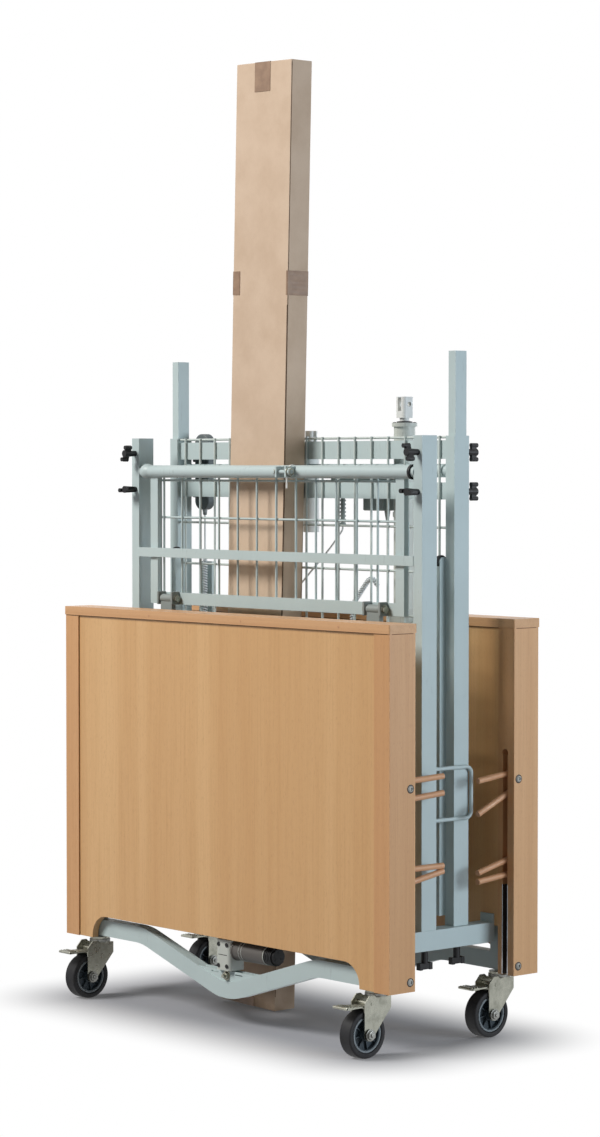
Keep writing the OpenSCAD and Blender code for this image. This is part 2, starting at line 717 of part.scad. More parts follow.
// Head half: side tubes with their joining stubs, cross bars and torsion tube
head_in_x = head_tube_x - tube_w / 2;
stub_w = tube_w - 2 * tube_wall - 1;
stub_d = tube_d - 2 * tube_wall - 6;
module head_frame() {
  color(steel) {
    both_sides() {
      difference() {
        translate([head_tube_x, head_y + tube_d / 2, half_z]) box_tube(tube_w, tube_d, half_len);
        for (d = screw_drops) translate([head_tube_x, head_y + tube_d - tube_wall - 1, half_top - d])
          along_y(tube_wall + 2, screw_d + 0.4);
      }
      translate([head_tube_x, head_y + tube_d / 2, half_top - 1]) {
        translate([-tube_w / 2 + e, -tube_d / 2 + e, 0]) cube([tube_w - 2 * e, tube_d - 2 * e, 1]);
        translate([-stub_w / 2, -stub_d / 2, 0]) difference() {
          cube([stub_w, stub_d, stub_len + 1]);
          translate([tube_wall, tube_wall, 2])
            cube([stub_w - 2 * tube_wall, stub_d - 2 * tube_wall, stub_len - 3]);
        }
      }
      translate([head_in_x - 14, head_y - 16, half_z + 20]) cube([14 + e, 18, half_len - 270]);
      translate([head_in_x - 7 + e / 2, head_y - 7, half_top - 250]) along_x(14 + e, 18);
    }
    for (b = [[bar1_top, bar1_h], [bar2_top, bar2_h], [half_z + 60, 30]])
      translate([-head_in_x - e, head_bar_y, b[0] - b[1]]) cube([2 * (head_in_x + e), head_bar_d, b[1]]);
    translate([0, head_bar_y + head_bar_d / 2, (bar1_top - bar1_h + bar2_top) / 2])
      along_x(2 * (head_in_x + e), torsion_d);
    translate([handset_x - 34, head_back_y + 24, half_z + 30]) cube([41, 6, half_len - 300]);
    translate([handset_x - 29, head_back_y - e, half_z + 33]) cube([31, 25, 24]);
  }
}
module head_wing_screws() both_sides() for (d = screw_drops)
  translate([head_tube_x, head_y + tube_d, half_top - d]) rotate([90, 0, 0]) wing_screw(90);

head_wires = floor((head_in_x - 14 - wire_d) / head_pitch);
module backrest_mesh() {
  low = half_z + 100;
  rows = floor((half_top - 2 - low) / head_rows);
  color(steel) {
    for (i = [-head_wires:head_wires]) translate([i * head_pitch, head_wire_y, low - 8])
      cylinder(h = half_top - low + 8, d = wire_d, $fn = 8);
    for (i = [0:rows]) if (i != 1) translate([0, head_wire_y + wire_d - 1, half_top - 3 - i * head_rows])
      rotate([0, 90, 0]) cylinder(h = 2 * head_in_x - 0.6, d = wire_d, center = true, $fn = 8);
  }
}

// Bed actuators, drawn with the rod's axis on x = 0
module actuator(d, low, top, rod_low) {
  translate([0, act_y, 0]) difference() {
    union() {
      translate([0, 0, low]) cylinder(h = top - low, d = d);
      for (b = [bar1_top - bar1_h + 1, bar2_top - bar2_h + 6]) translate([-14, head_back_y - act_y, b])
        cube([28, act_y - head_back_y, 14]);
      children();
    }
    translate([0, 0, rod_low - 5]) cylinder(h = top - rod_low + 6, d = act_rod_d + 2 * run_fit);
  }
}
module rod(low, head_low, head_h, w, d, turn = 0) {
  translate([0, act_y, 0]) rotate([0, 0, turn]) {
    translate([0, 0, low]) cylinder(h = head_low - low + e, d = act_rod_d);
    difference() {
      translate([0, 0, head_low]) linear_extrude(head_h) round_rect(w, d, 7);
      translate([-w / 6, -d, head_low + 14]) cube([w / 3, 2 * d, head_h]);
      translate([0, 0, head_low + head_h - 15]) along_x(w + 2, eye_bore_d);
    }
  }
}
back_top = half_top + 28;
back_rod_low = back_top - back_stroke - rod_stay;
module backrest_actuator() {
  color([0.90, 0.91, 0.91]) translate([back_act_x, 0, 0])
    actuator(back_act_d, back_rod_low - act_tail, back_top, back_rod_low) {
      translate([0, 0, back_top - 8]) cylinder(h = 8, d = back_act_d + 8);
      translate([0, 0, back_rod_low - act_tail - 35]) linear_extrude(95) round_rect(60, 46, 8);
      translate([29, 0, back_rod_low - act_tail + 15]) rotate([0, 90, 0])
        cylinder(h = act_motor_len, d = act_motor_d);
    }
}
module backrest_rod() color([0.94, 0.94, 0.93]) translate([back_act_x, 0, 0])
  rod(back_rod_low, back_top + 10, rod_head_h, rod_head_w, rod_head_d);
thigh_top = half_top - 30;
thigh_rod_low = thigh_top - thigh_stroke - rod_stay;
module thigh_actuator() color([0.84, 0.86, 0.86]) translate([thigh_act_x, 0, 0])
  actuator(thigh_act_d, thigh_rod_low - 40, thigh_top, thigh_rod_low) {}
module thigh_rod() color([0.92, 0.93, 0.92]) translate([thigh_act_x, 0, 0])
  rod(thigh_rod_low, thigh_top + 4, rod_head_h - 3, rod_head_w - 6, rod_head_d - 6, 90);

// Control box behind the cross bars, with a ribbed strain relief for the handset cord
relief_x = 68;
relief_h = 60;
relief_d = 13;
module control_box() {
  color([0.25, 0.27, 0.28]) {
    translate([box_x, head_back_y, box_z]) cube([box_w, box_d, box_top - box_z]);
    translate([box_x + box_w - box_low_w, head_back_y, box_low_z])
      cube([box_low_w, box_d, box_z - box_low_z + e]);
    translate([relief_x, handset_cord_y, box_z - relief_h]) {
      cylinder(h = relief_h + e, d = relief_d - 4);
      for (i = [0:6]) translate([0, 0, 2 + 8 * i]) cylinder(h = 4, d = relief_d);
    }
  }
}

// Handset, hung behind the cross bars, with a strain relief at its foot
key_t = 1.5;
module handset() {
  color([0.27, 0.30, 0.31]) {
    translate([handset_x, head_back_y + handset_t + 0.5, handset_z + handset_len / 2]) rotate([90, 0, 0])
      linear_extrude(handset_t) round_rect(handset_w, handset_len, handset_w / 2 - 3);
    translate([handset_x, handset_cord_y, handset_z - 12]) cylinder(h = 13, d = 9);
  }
}
module handset_keypad() {
  color([0.62, 0.65, 0.66])
  translate([handset_x, head_back_y + handset_t + 0.5, handset_z + handset_len / 2]) {
    translate([0, key_t, 0]) rotate([90, 0, 0]) linear_extrude(key_t)
      round_rect(handset_w - 14, handset_len - 46, 10);
    for (x = [-1, 1], i = [0:3]) translate([x * handset_w / 6, key_t - e, 42 - 28 * i]) along_y(1.5 + e, 11);
  }
}

// Cords: each is one tube swept along its route, which is written as distances below the tube tops
function unit(v) = v / norm(v);
function sum(v, i = 0) = i >= len(v) ? 0 : v[i] + sum(v, i + 1);
function tangents(p) = let (n = len(p)) [for (i = [0:n - 1]) unit(p[min(i + 1, n - 1)] - p[max(i - 1, 0)])];
function square_to(u, t) = unit(u - (u * t) * t);
function carried(t) = [for (i = 0, u = square_to([0, 1, 0.01], t[0]); i < len(t);
  i = i + 1, u = i < len(t) ? square_to(u, t[i]) : u) u];
function rings(p, d, n) = let (t = tangents(p), u = carried(t)) [for (i = [0:len(p) - 1], k = [0:n - 1])
  p[i] + d / 2 * (cos(360 * k / n) * u[i] + sin(360 * k / n) * cross(t[i], u[i]))];
module sweep(p, d, n = 6) {
  m = len(p);
  polyhedron(rings(p, d, n), concat(
    [for (k = [1:n - 2]) [0, k, k + 1]],
    [for (k = [1:n - 2]) [n * (m - 1), n * (m - 1) + k + 1, n * (m - 1) + k]],
    [for (i = [0:m - 2], k = [0:n - 1]) [n * i + k, n * (i + 1) + k, n * (i + 1) + (k + 1) % n]],
    [for (i = [0:m - 2], k = [0:n - 1]) [n * i + k, n * (i + 1) + (k + 1) % n, n * i + (k + 1) % n]]));
}
function smooth(a, b, c, d, f) = 0.5 * (2 * b + (c - a) * f + (2 * a - 5 * b + 4 * c - d) * f * f
  + (3 * b - a - 3 * c + d) * f * f * f);
function eased(q, steps) = let (n = len(q)) concat([for (i = [0:n - 2], j = [0:steps - 1])
  smooth(q[max(i - 1, 0)], q[i], q[i + 1], q[min(i + 2, n - 1)], j / steps)], [q[n - 1]]);
function placed(q, y) = [for (v = q) [v[0], y, half_top - v[1]]];
// Curls along a flat line: line(s) gives [x, drop, heading] at length s
ring_count = 8;
function curl_size(i, n) = curl_d / 2 * min(1, i / ring_count, (n - i) / ring_count);
function curled(line, turns, y) = [for (i = [1:turns * ring_count - 1])
  let (w = line(i / ring_count * curl_pitch), a = 360 * i / ring_count,
    r = curl_size(i, turns * ring_count))
    [w[0] + r * cos(a) * sin(w[2]), y + r * sin(a), half_top - w[1] - r * cos(a) * cos(w[2])]];
function self_gap(p) = min([for (i = [0:len(p) - 1])
  min([1000, for (j = [i + 6:1:len(p) - 1]) norm(p[i] - p[j])])]) - cord_d;
function length(p) = sum([for (i = [1:len(p) - 1]) norm(p[i] - p[i - 1])]);

// Handset cord: down from the handset in curls, across under the mesh and up to the strain relief
handset_drop = half_top - handset_z + 12;
handset_curl_drop = handset_drop + 72;
handset_curl_end = handset_curl_drop + handset_curls * curl_pitch;
handset_line = function (s) [handset_x, handset_curl_drop + s, 90];
relief_drop = half_top - box_z + relief_h;
handset_tail = [[handset_x, handset_curl_end], [handset_x + 2, 458], [handset_x + 16, 474],
  [handset_x + 40, 478], [-290, 460], [-220, 424], [-130, 364], [-59, 304], [23, 236], [54, 206],
  [relief_x - 2, 194], [relief_x, relief_drop]];
handset_route = concat(placed([[handset_x, handset_drop], [handset_x, handset_drop + 10],
  [handset_x, handset_drop + 22]], handset_cord_y), curled(handset_line, handset_curls, handset_cord_y),
  placed(eased(handset_tail, 3), handset_cord_y));
module handset_cord() {
  echo(cord = "handset", length = length(handset_route), gap = self_gap(handset_route));
  color([0.55, 0.58, 0.60]) sweep(handset_route, cord_d);
}

// Motor cord: down from the control box, up again, and over in curls that lean away to its plug
motor_x = 195;
arch_x = 165;
cord_arch_r = 18;
arch_drop = 312;
lean_turn = 137;
lean_len = 56;
fall_r = 30;
arch_len = PI * cord_arch_r * lean_turn / 180;
fall_len = PI * fall_r * (180 - lean_turn) / 180;
arch_end = [arch_x - cord_arch_r * (1 - cos(lean_turn)), arch_drop - cord_arch_r * sin(lean_turn)];
lean_end = arch_end + lean_len * [cos(90 + lean_turn), -sin(90 + lean_turn)];
fall_x = lean_end[0] - fall_r * (1 + cos(lean_turn));
fall_drop = lean_end[1] + fall_r * sin(lean_turn);
motor_line = function (s) s < arch_len ? let (f = s / cord_arch_r * 180 / PI)
    [arch_x - cord_arch_r * (1 - cos(f)), arch_drop - cord_arch_r * sin(f), 90 + f]
  : s < arch_len + lean_len ? let (w = s - arch_len, h = 90 + lean_turn)
    [arch_end[0] + w * cos(h), arch_end[1] - w * sin(h), h]
  : s < arch_len + lean_len + fall_len ? let (f = lean_turn + (s - arch_len - lean_len) / fall_r * 180 / PI)
    [fall_x + fall_r * (1 + cos(f)), fall_drop - fall_r * sin(f), 90 + f]
  : [fall_x, fall_drop + s - arch_len - lean_len - fall_len, 270];
motor_start = half_top - box_low_z;
motor_head = [[motor_x, motor_start], [motor_x, 250], [motor_x, 350], [motor_x, 430], [191, 446],
  [180, 452], [arch_x + 4, 446], [arch_x, 430], [arch_x, 380], [arch_x, arch_drop]];
motor_end = fall_drop + motor_curls * curl_pitch - arch_len - lean_len - fall_len + 60;
plug_len = 46;
motor_route = concat(placed(eased(motor_head, 3), cord_y), curled(motor_line, motor_curls, cord_y),
  placed([for (d = [motor_end - 60, motor_end - 40, motor_end - 20, motor_end]) [fall_x, d]], cord_y));
module motor_cord() {
  echo(cord = "motor", length = length(motor_route), gap = self_gap(motor_route));
  color([0.70, 0.72, 0.73]) {
    sweep(motor_route, cord_d);
    translate([fall_x, cord_y, half_top - motor_end - plug_len]) cylinder(h = plug_len, d = 14);
  }
}

// Carton with the wooden side rails, leaning against the head half's mesh
module at_carton() translate([carton_x, carton_back_y - carton_t, carton_z])
  rotate([0, carton_lean, 0]) children();
module carton() {
  color([0.79, 0.69, 0.57]) at_carton() difference() {
    translate([-carton_w / 2, 0, 0]) cube([carton_w, carton_t, carton_h]);
    translate([-carton_w / 2 + carton_wall, carton_wall, carton_wall])
      cube([carton_w - 2 * carton_wall, carton_t - 2 * carton_wall, carton_h - 2 * carton_wall]);
  }
}
rail_play = 1;
module side_rails() {
  w = (carton_w - 2 * carton_wall - 3 * rail_play) / 2;
  t = (carton_t - 2 * carton_wall - 3 * rail_play) / 2;
  color(beech) at_carton() for (s = [-1, 1], k = [0, 1])
    translate([s * (w + rail_play) / 2, carton_wall + rail_play + t / 2 + k * (t + rail_play), carton_wall])
      linear_extrude(carton_h - 2 * carton_wall - 30) round_rect(w, t, 5);
}

at_front() outer_panel();  // front_outer_panel
at_front() inner_panel();  // front_inner_panel
at_front() side(-1) post();  // front_left_post
at_front() post();  // front_right_post
at_front() cap();  // front_cap
at_rear() outer_panel();  // rear_outer_panel
at_rear() inner_panel();  // rear_inner_panel
at_rear() side(-1) post();  // rear_left_post
at_rear() post();  // rear_right_post
at_rear() cap();  // rear_cap
board_bolts();
at_front() chassis();  // front_chassis
at_rear() chassis();  // rear_chassis
at_front() lift_actuator();  // front_lift_actuator
at_rear() lift_actuator();  // rear_lift_actuator
at_front() lift_rod();  // front_lift_rod
at_rear() lift_rod();  // rear_lift_rod
at_castor(-1, front_axis_y) fork();  // front_left_fork
at_castor(-1, front_axis_y) tyre();  // front_left_tyre
at_castor(-1, front_axis_y) hub();  // front_left_hub
at_castor(-1, front_axis_y) pedal();  // front_left_pedal
at_castor(1, front_axis_y) fork();  // front_right_fork
at_castor(1, front_axis_y) tyre();  // front_right_tyre
at_castor(1, front_axis_y) hub();  // front_right_hub
at_castor(1, front_axis_y) pedal();  // front_right_pedal
at_castor(-1, rear_axis_y) fork();  // rear_left_fork
at_castor(-1, rear_axis_y) tyre();  // rear_left_tyre
at_castor(-1, rear_axis_y) hub();  // rear_left_hub
at_castor(-1, rear_axis_y) pedal();  // rear_left_pedal
at_castor(1, rear_axis_y) fork();  // rear_right_fork
at_castor(1, rear_axis_y) tyre();  // rear_right_tyre
at_castor(1, rear_axis_y) hub();  // rear_right_hub
at_castor(1, rear_axis_y) pedal();  // rear_right_pedal
side(-1) storage_bracket();  // left_storage_bracket
storage_bracket();  // right_storage_bracket
bracket_knobs();
at_front() side(-1) rail_guide(dowel_front, droop_front);  // front_left_rail_guide
at_front() rail_guide(dowel_front, droop_front);  // front_right_rail_guide
at_rear() side(-1) rail_guide(dowel_rear, droop_rear);  // rear_left_rail_guide
at_rear() rail_guide(dowel_rear, droop_rear);  // rear_right_rail_guide
foot_frame();
foot_wing_screws();
thigh_rest();
calf_rest();
side(-1) mattress_bracket();  // left_mattress_bracket
mattress_bracket();  // right_mattress_bracket
head_frame();
backrest_mesh();
head_wing_screws();
backrest_actuator();
backrest_rod();
thigh_actuator();
thigh_rod();
control_box();
handset();
handset_keypad();
handset_cord();
motor_cord();
carton();
side_rails();
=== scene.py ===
"""Looks of the care bed that stands packed on its own castors.

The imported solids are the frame. Each class below is one sub-assembly: it rounds the edges of its solids,
adds the small hardware that the solids leave out, and gives every piece its finish.
Sizes in the classes are millimetres; meshes are made in metres.
"""

import logging
import math
from dataclasses import dataclass, field
from enum import Enum
from typing import Any, Callable, Sequence, Union

import bmesh
import bpy
from mathutils import Matrix, Vector


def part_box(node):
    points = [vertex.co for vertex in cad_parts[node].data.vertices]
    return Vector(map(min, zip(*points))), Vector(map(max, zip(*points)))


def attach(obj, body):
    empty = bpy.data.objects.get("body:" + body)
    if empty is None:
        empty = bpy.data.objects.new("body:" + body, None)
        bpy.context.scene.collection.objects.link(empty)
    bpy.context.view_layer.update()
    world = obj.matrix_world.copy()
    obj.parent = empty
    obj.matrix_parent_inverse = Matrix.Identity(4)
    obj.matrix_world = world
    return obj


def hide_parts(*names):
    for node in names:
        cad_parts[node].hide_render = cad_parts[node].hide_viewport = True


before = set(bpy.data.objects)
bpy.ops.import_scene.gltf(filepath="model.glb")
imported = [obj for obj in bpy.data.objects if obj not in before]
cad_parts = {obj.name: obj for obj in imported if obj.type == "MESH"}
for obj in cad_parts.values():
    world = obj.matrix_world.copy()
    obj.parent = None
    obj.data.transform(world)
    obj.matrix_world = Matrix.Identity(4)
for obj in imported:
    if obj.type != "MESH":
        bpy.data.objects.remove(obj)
log = logging.getLogger("care_bed")

MM = 0.001
SIDES = ("left", "right")
HEAD_TOP = 1208.2
Number = Union["Wire", float]
Triple = tuple[float, float, float]
Colour = tuple[float, float, float, float]
Point = Sequence[float]


def linear(value: float) -> float:
    """Linear value of one display channel from 0 to 1."""
    return value / 12.92 if value <= 0.04045 else ((value + 0.055) / 1.055) ** 2.4


def tint(red: int, green: int, blue: int) -> Colour:
    """Linear colour of a display colour from 0 to 255."""
    return (linear(red / 255), linear(green / 255), linear(blue / 255), 1.0)


def box_of(node: str) -> tuple[Vector, Vector]:
    """Low and high corner of a CAD node's box, in millimetres."""
    low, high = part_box(node)
    return low / MM, high / MM


def added(name: str, data: bpy.types.ID) -> bpy.types.Object:
    """Puts a new object in the scene.

    Args:
        name: Its name.
        data: Its mesh, curve, lamp or camera.

    Returns:
        The object.
    """
    made = bpy.data.objects.new(name, data)
    bpy.context.scene.collection.objects.link(made)
    return made


class End(Enum):
    """The two ends of the bed, by their names in the frame."""

    FRONT = "front"
    REAR = "rear"


class Axis(Enum):
    """Direction of a grain, a turning axis or a row."""

    X = Vector((1, 0, 0))
    Y = Vector((0, 1, 0))
    Z = Vector((0, 0, 1))

    def turn(self) -> Matrix:
        """Matrix that turns +Z onto this direction."""
        return self.value.to_track_quat("Z", "Y").to_matrix().to_4x4()

    def at(self, middle: Point) -> Matrix:
        """Matrix that turns +Z onto this direction, at a point."""
        return Matrix.Translation(Vector(middle)) @ self.turn()

    def stretched(self, across: float, along: float) -> Triple:
        """Pattern scale that is `along` in this direction and `across` in the other two."""
        return tuple(along if part else across for part in self.value)


class Wire:
    """One output socket of a node tree, with the arithmetic of its value."""

    def __init__(self, nodes: "Nodes", socket: bpy.types.NodeSocket) -> None:
        """Keeps the socket and the tree that it belongs to."""
        self.nodes = nodes
        self.socket = socket

    def __add__(self, other: Number) -> "Wire":
        """Sum."""
        return self.nodes.math("ADD", self, other)

    __radd__ = __add__

    def __sub__(self, other: Number) -> "Wire":
        """Difference."""
        return self.nodes.math("SUBTRACT", self, other)

    def __rsub__(self, other: Number) -> "Wire":
        """Difference from a number."""
        return self.nodes.math("SUBTRACT", other, self)

    def __mul__(self, other: Number) -> "Wire":
        """Product."""
        return self.nodes.math("MULTIPLY", self, other)

    __rmul__ = __mul__

    def over(self, edge: float, width: float = 0.1) -> "Wire":
        """Soft step from 0 to 1 that is centred on `edge` and `width` wide."""
        return self.nodes.remap(self, edge - width / 2, edge + width / 2)


class Nodes:
    """A node tree under construction."""

    def __init__(self, tree: bpy.types.NodeTree) -> None:
        """Starts with the tree emptied."""
        self.tree = tree
        self.tree.nodes.clear()

    def feed(self, target: bpy.types.NodeSocket, value: Any) -> None:
        """Links an input to a wire, or sets its value.

        Args:
            target: The input.
            value: A wire or a value.
        """
        if isinstance(value, Wire):
            self.tree.links.new(value.socket, target)
        else:
            target.default_value = value

    def node(self, kind: str, settings: dict[str, Any] | None = None,
             sockets: dict[str | int, Any] | None = None) -> bpy.types.Node:
        """Adds one node.

        Args:
            kind: Node type without its common prefix.
            settings: Properties, set first.
            sockets: Values or wires of the inputs, by name or number.

        Returns:
            The new node.
        """
        made = self.tree.nodes.new("ShaderNode" + kind)
        for key, value in (settings or {}).items():
            setattr(made, key, value)
        for key, value in (sockets or {}).items():
            self.feed(made.inputs[key], value)
        return made

    def wire(self, node: bpy.types.Node, output: str | int = 0) -> Wire:
        """One output of a node."""
        return Wire(self, node.outputs[output])

    def math(self, operation: str, a: Number, b: Number = 0.0) -> Wire:
        """Math node on two values."""
        return self.wire(self.node("Math", {"operation": operation}, {0: a, 1: b}))

    def remap(self, value: Wire, low: float, high: float, to: tuple[float, float] = (0.0, 1.0)) -> Wire:
        """Clamped smooth change of `value` from low..high to the range `to`."""
        return self.wire(self.node("MapRange", {"interpolation_type": "SMOOTHSTEP"}, {
            "Value": value, "From Min": low, "From Max": high, "To Min": to[0], "To Max": to[1]}))

    def seen(self, *rays: str) -> Wire:
        """A value that is 1 for some kinds of rays, and 0 for light.

        Args:
            rays: Kinds of rays.

        Returns:
            The value.
        """
        path = self.node("LightPath")
        share = self.wire(path, f"Is {rays[0]} Ray")
        for kind in rays[1:]:
            share = self.math("MAXIMUM", share, self.wire(path, f"Is {kind} Ray"))
        return share


class Shader(Nodes):
    """A material under construction, with its Principled shader."""

    def __init__(self, name: str) -> None:
        """Starts a material with the shader on its output.

        Args:
            name: The material's name.
        """
        self.material = bpy.data.materials.new(name)
        self.material.use_nodes = True
        super().__init__(self.material.node_tree)
        self.surface = self.node("BsdfPrincipled")
        self.node("OutputMaterial", None, {"Surface": self.wire(self.surface)})

    def place(self, scale: Triple = (1, 1, 1), shift: Triple = (0, 0, 0)) -> Wire:
        """Object coordinates in metres, scaled and shifted."""
        where = self.wire(self.node("TexCoord"), "Object")
        return self.wire(self.node("Mapping", None, {"Vector": where, "Scale": scale, "Location": shift}))

    def parts(self, where: Wire) -> tuple[Wire, Wire, Wire]:
        """The three values of a vector."""
        split = self.node("SeparateXYZ", None, {0: where})
        return self.wire(split, 0), self.wire(split, 1), self.wire(split, 2)

    def noise(self, where: Wire, scale: float = 1.0, detail: float = 2.0, rough: float = 0.5) -> Wire:
        """Noise from 0 to 1."""
        return self.wire(self.node("TexNoise", None, {
            "Vector": where, "Scale": scale, "Detail": detail, "Roughness": rough}))

    def cells(self, where: Wire, scale: float = 1.0) -> Wire:
        """Distance to the nearest of a field of scattered points."""
        return self.wire(self.node("TexVoronoi", None, {"Vector": where, "Scale": scale}))

    def mix(self, share: Number, a: Any, b: Any) -> Wire:
        """Mix of two colours by `share`."""
        return self.wire(self.node("Mix", {"data_type": "RGBA"}, {0: share, 6: a, 7: b}), 2)

    def bump(self, height: Wire, distance: float, strength: float) -> None:
        """Feeds a bump of `distance` metres to the shader's normal."""
        made = self.node("Bump", None, {"Height": height, "Distance": distance, "Strength": strength})
        self.dress(Normal=self.wire(made))

    def dress(self, **sockets: Any) -> None:
        """Sets or links the shader's own inputs; an underscore stands for a space."""
        for key, value in sockets.items():
            self.feed(self.surface.inputs[key.replace("_", " ")], value)


@dataclass(frozen=True)
class Finish:
    """A surface finish; `slot` is the record's material slot that it belongs to."""

    name: str
    slot: str

    def build(self) -> bpy.types.Material:
        """Makes the material."""
        raise NotImplementedError

    def material(self) -> bpy.types.Material:
        """The material, made on first use."""
        return bpy.data.materials.get(self.name) or self.build()


@dataclass(frozen=True)
class Beech(Finish):
    """Lacquered beech: soft bands, fine streaks and short dark flecks along the grain."""

    light: Colour
    dark: Colour
    fleck: Colour
    grain: Axis = Axis.Z
    bands: float = 13.0
    gloss: float = 0.12

    def build(self) -> bpy.types.Material:
        """Makes the material.

        Returns:
            The material.
        """
        shader = Shader(self.name)
        wide = shader.noise(shader.place(self.grain.stretched(self.bands, 0.3)), 1.0, 3.0, 0.6)
        plank = shader.noise(shader.place(self.grain.stretched(9.0, 0.05), (0.3, 0.1, 0.7)), 1.0, 0.0)
        streak = shader.noise(shader.place(self.grain.stretched(240, 4.5)), 1.0, 4.0, 0.65)
        pore = shader.noise(shader.place(self.grain.stretched(1100, 95)), 1.0, 1.0)
        fleck = pore.over(0.66, 0.1)
        tone = shader.mix(wide.over(0.52, 0.42), self.light, self.dark)
        tone = shader.mix(plank.over(0.5, 0.25) * 0.45, tone, self.dark)
        tone = shader.mix(streak.over(0.6, 0.35) * 0.24, tone, self.fleck)
        tone = shader.mix(fleck * 0.4, tone, self.fleck)
        shader.dress(Base_Color=tone, Coat_Weight=self.gloss, Coat_Roughness=0.22,
                     Roughness=shader.remap(streak, 0.3, 0.7, (0.36, 0.5)))
        shader.bump(streak * 0.4 - fleck, 0.00012, 0.6)
        return shader.material


@dataclass(frozen=True)
class PowderCoat(Finish):
    """Sprayed and baked coat on steel: fine orange peel, faint clouds and rubbed places."""

    colour: Colour
    shade: Colour
    worn: Colour
    rough: tuple[float, float] = (0.34, 0.46)

    def build(self) -> bpy.types.Material:
        """Makes the material.

        Returns:
            The material.
        """
        shader = Shader(self.name)
        cloud = shader.noise(shader.place(), 6.0, 4.0, 0.6)
        peel = shader.noise(shader.place(), 900.0, 2.0)
        patch = shader.noise(shader.place(shift=(3, 1, 2)), 8.0, 2.0).over(0.58, 0.12)
        rub = shader.noise(shader.place((210, 210, 24)), 1.0, 4.0, 0.7).over(0.62, 0.08) * patch
        tone = shader.mix(cloud.over(0.5, 0.5) * 0.55, self.colour, self.shade)
        tone = shader.mix(rub * 0.5, tone, self.worn)
        shader.dress(Base_Color=tone, Specular_IOR_Level=0.35,
                     Roughness=shader.remap(peel, 0.3, 0.7, self.rough) + rub * 0.1)
        shader.bump(peel + rub * 0.5, 0.00008, 0.5)
        return shader.material


@dataclass(frozen=True)
class Plated(Finish):
    """Plated or bare metal: cloudy sheen with fine lines along one direction."""

    colour: Colour
    shade: Colour
    rough: tuple[float, float] = (0.24, 0.42)
    metal: float = 1.0
    lines: Axis = Axis.Z

    def build(self) -> bpy.types.Material:
        """Makes the material.

        Returns:
            The material.
        """
        shader = Shader(self.name)
        cloud = shader.noise(shader.place(), 45.0, 5.0, 0.62)
        line = shader.noise(shader.place(self.lines.stretched(2600, 60)), 1.0, 2.0)
        spot = shader.cells(shader.place(), 160.0).over(0.16, 0.1)
        tone = shader.mix(cloud.over(0.5, 0.4), self.colour, self.shade)
        tone = shader.mix((1 - spot) * 0.18, tone, self.shade)
        shader.dress(Base_Color=tone, Metallic=self.metal,
                     Roughness=shader.remap(cloud, 0.35, 0.65, self.rough) + line * 0.06)
        shader.bump(line, 0.00003, 0.4)
        return shader.material


@dataclass(frozen=True)
class Moulded(Finish):
    """Moulded plastic or rubber: spark-eroded grain, faint flow marks and a little dust."""

    colour: Colour
    shade: Colour
    dust: Colour
    rough: tuple[float, float] = (0.42, 0.56)
    grain: float = 1500.0
    depth: float = 0.00006
    dusty: float = 0.15

    def build(self) -> bpy.types.Material:
        """Makes the material.

        Returns:
            The material.
        """
        shader = Shader(self.name)
        flow = shader.noise(shader.place(), 16.0, 4.0, 0.6)
        grain = shader.noise(shader.place(), self.grain, 1.0)
        dust = shader.noise(shader.place(shift=(1, 2, 3)), 70.0, 5.0, 0.7).over(0.6, 0.2)
        tone = shader.mix(flow.over(0.5, 0.5), self.colour, self.shade)
        tone = shader.mix(dust * self.dusty, tone, self.dust)
        shader.dress(Base_Color=tone, Specular_IOR_Level=0.3,
                     Roughness=shader.remap(flow, 0.3, 0.7, self.rough) + dust * self.dusty * 0.4)
        shader.bump(grain, self.depth, 0.7)
        return shader.material


@dataclass(frozen=True)
class Board(Finish):
    """Corrugated board: brown liner with fibres, faint flutes, and blotches that darken it towards the
    bottom.
    """

    liner: Colour
    fibre: Colour
    bottom_tone: Colour
    flutes: float = 170.0
    darker_below: float = 0.22

    def build(self) -> bpy.types.Material:
        """Makes the material.

        Returns:
            The material.
        """
        shader = Shader(self.name)
        across, _, height = shader.parts(shader.place())
        flute = shader.math("SINE", across * (self.flutes * 2 * math.pi))
        fibre = shader.noise(shader.place((900, 900, 160)), 1.0, 3.0, 0.7)
        blotch = shader.noise(shader.place(), 9.0, 5.0, 0.65)
        # Blotches that darken the carton towards its bottom
        bottom_darkening = (1 - height.over(self.darker_below, 0.35)) * shader.noise(shader.place(), 26.0, 4.0)
        tone = shader.mix(blotch.over(0.52, 0.4) * 0.6, self.liner, self.fibre)
        tone = shader.mix(fibre.over(0.62, 0.16) * 0.35, tone, self.fibre)
        tone = shader.mix(bottom_darkening * 0.75, tone, self.bottom_tone)
        shader.dress(Base_Color=tone, Roughness=shader.remap(blotch, 0.3, 0.7, (0.72, 0.86)))
        shader.bump(flute * 0.35 + fibre, 0.00018, 0.6)
        return shader.material


@dataclass(frozen=True)
class Tape(Finish):
    """Brown parcel tape: glossy film with wrinkles along it."""

    film: Colour
    glue: Colour

    def build(self) -> bpy.types.Material:
        """Makes the material.

        Returns:
            The material.
        """
        shader = Shader(self.name)
        wrinkle = shader.noise(shader.place((30, 30, 190)), 1.0, 4.0, 0.6)
        cloud = shader.noise(shader.place(), 60.0, 3.0)
        shader.dress(Base_Color=shader.mix(cloud.over(0.5, 0.4), self.film, self.glue),
                     Roughness=shader.remap(wrinkle, 0.3, 0.7, (0.4, 0.55)))
        shader.bump(wrinkle, 0.00025, 0.4)
        return shader.material


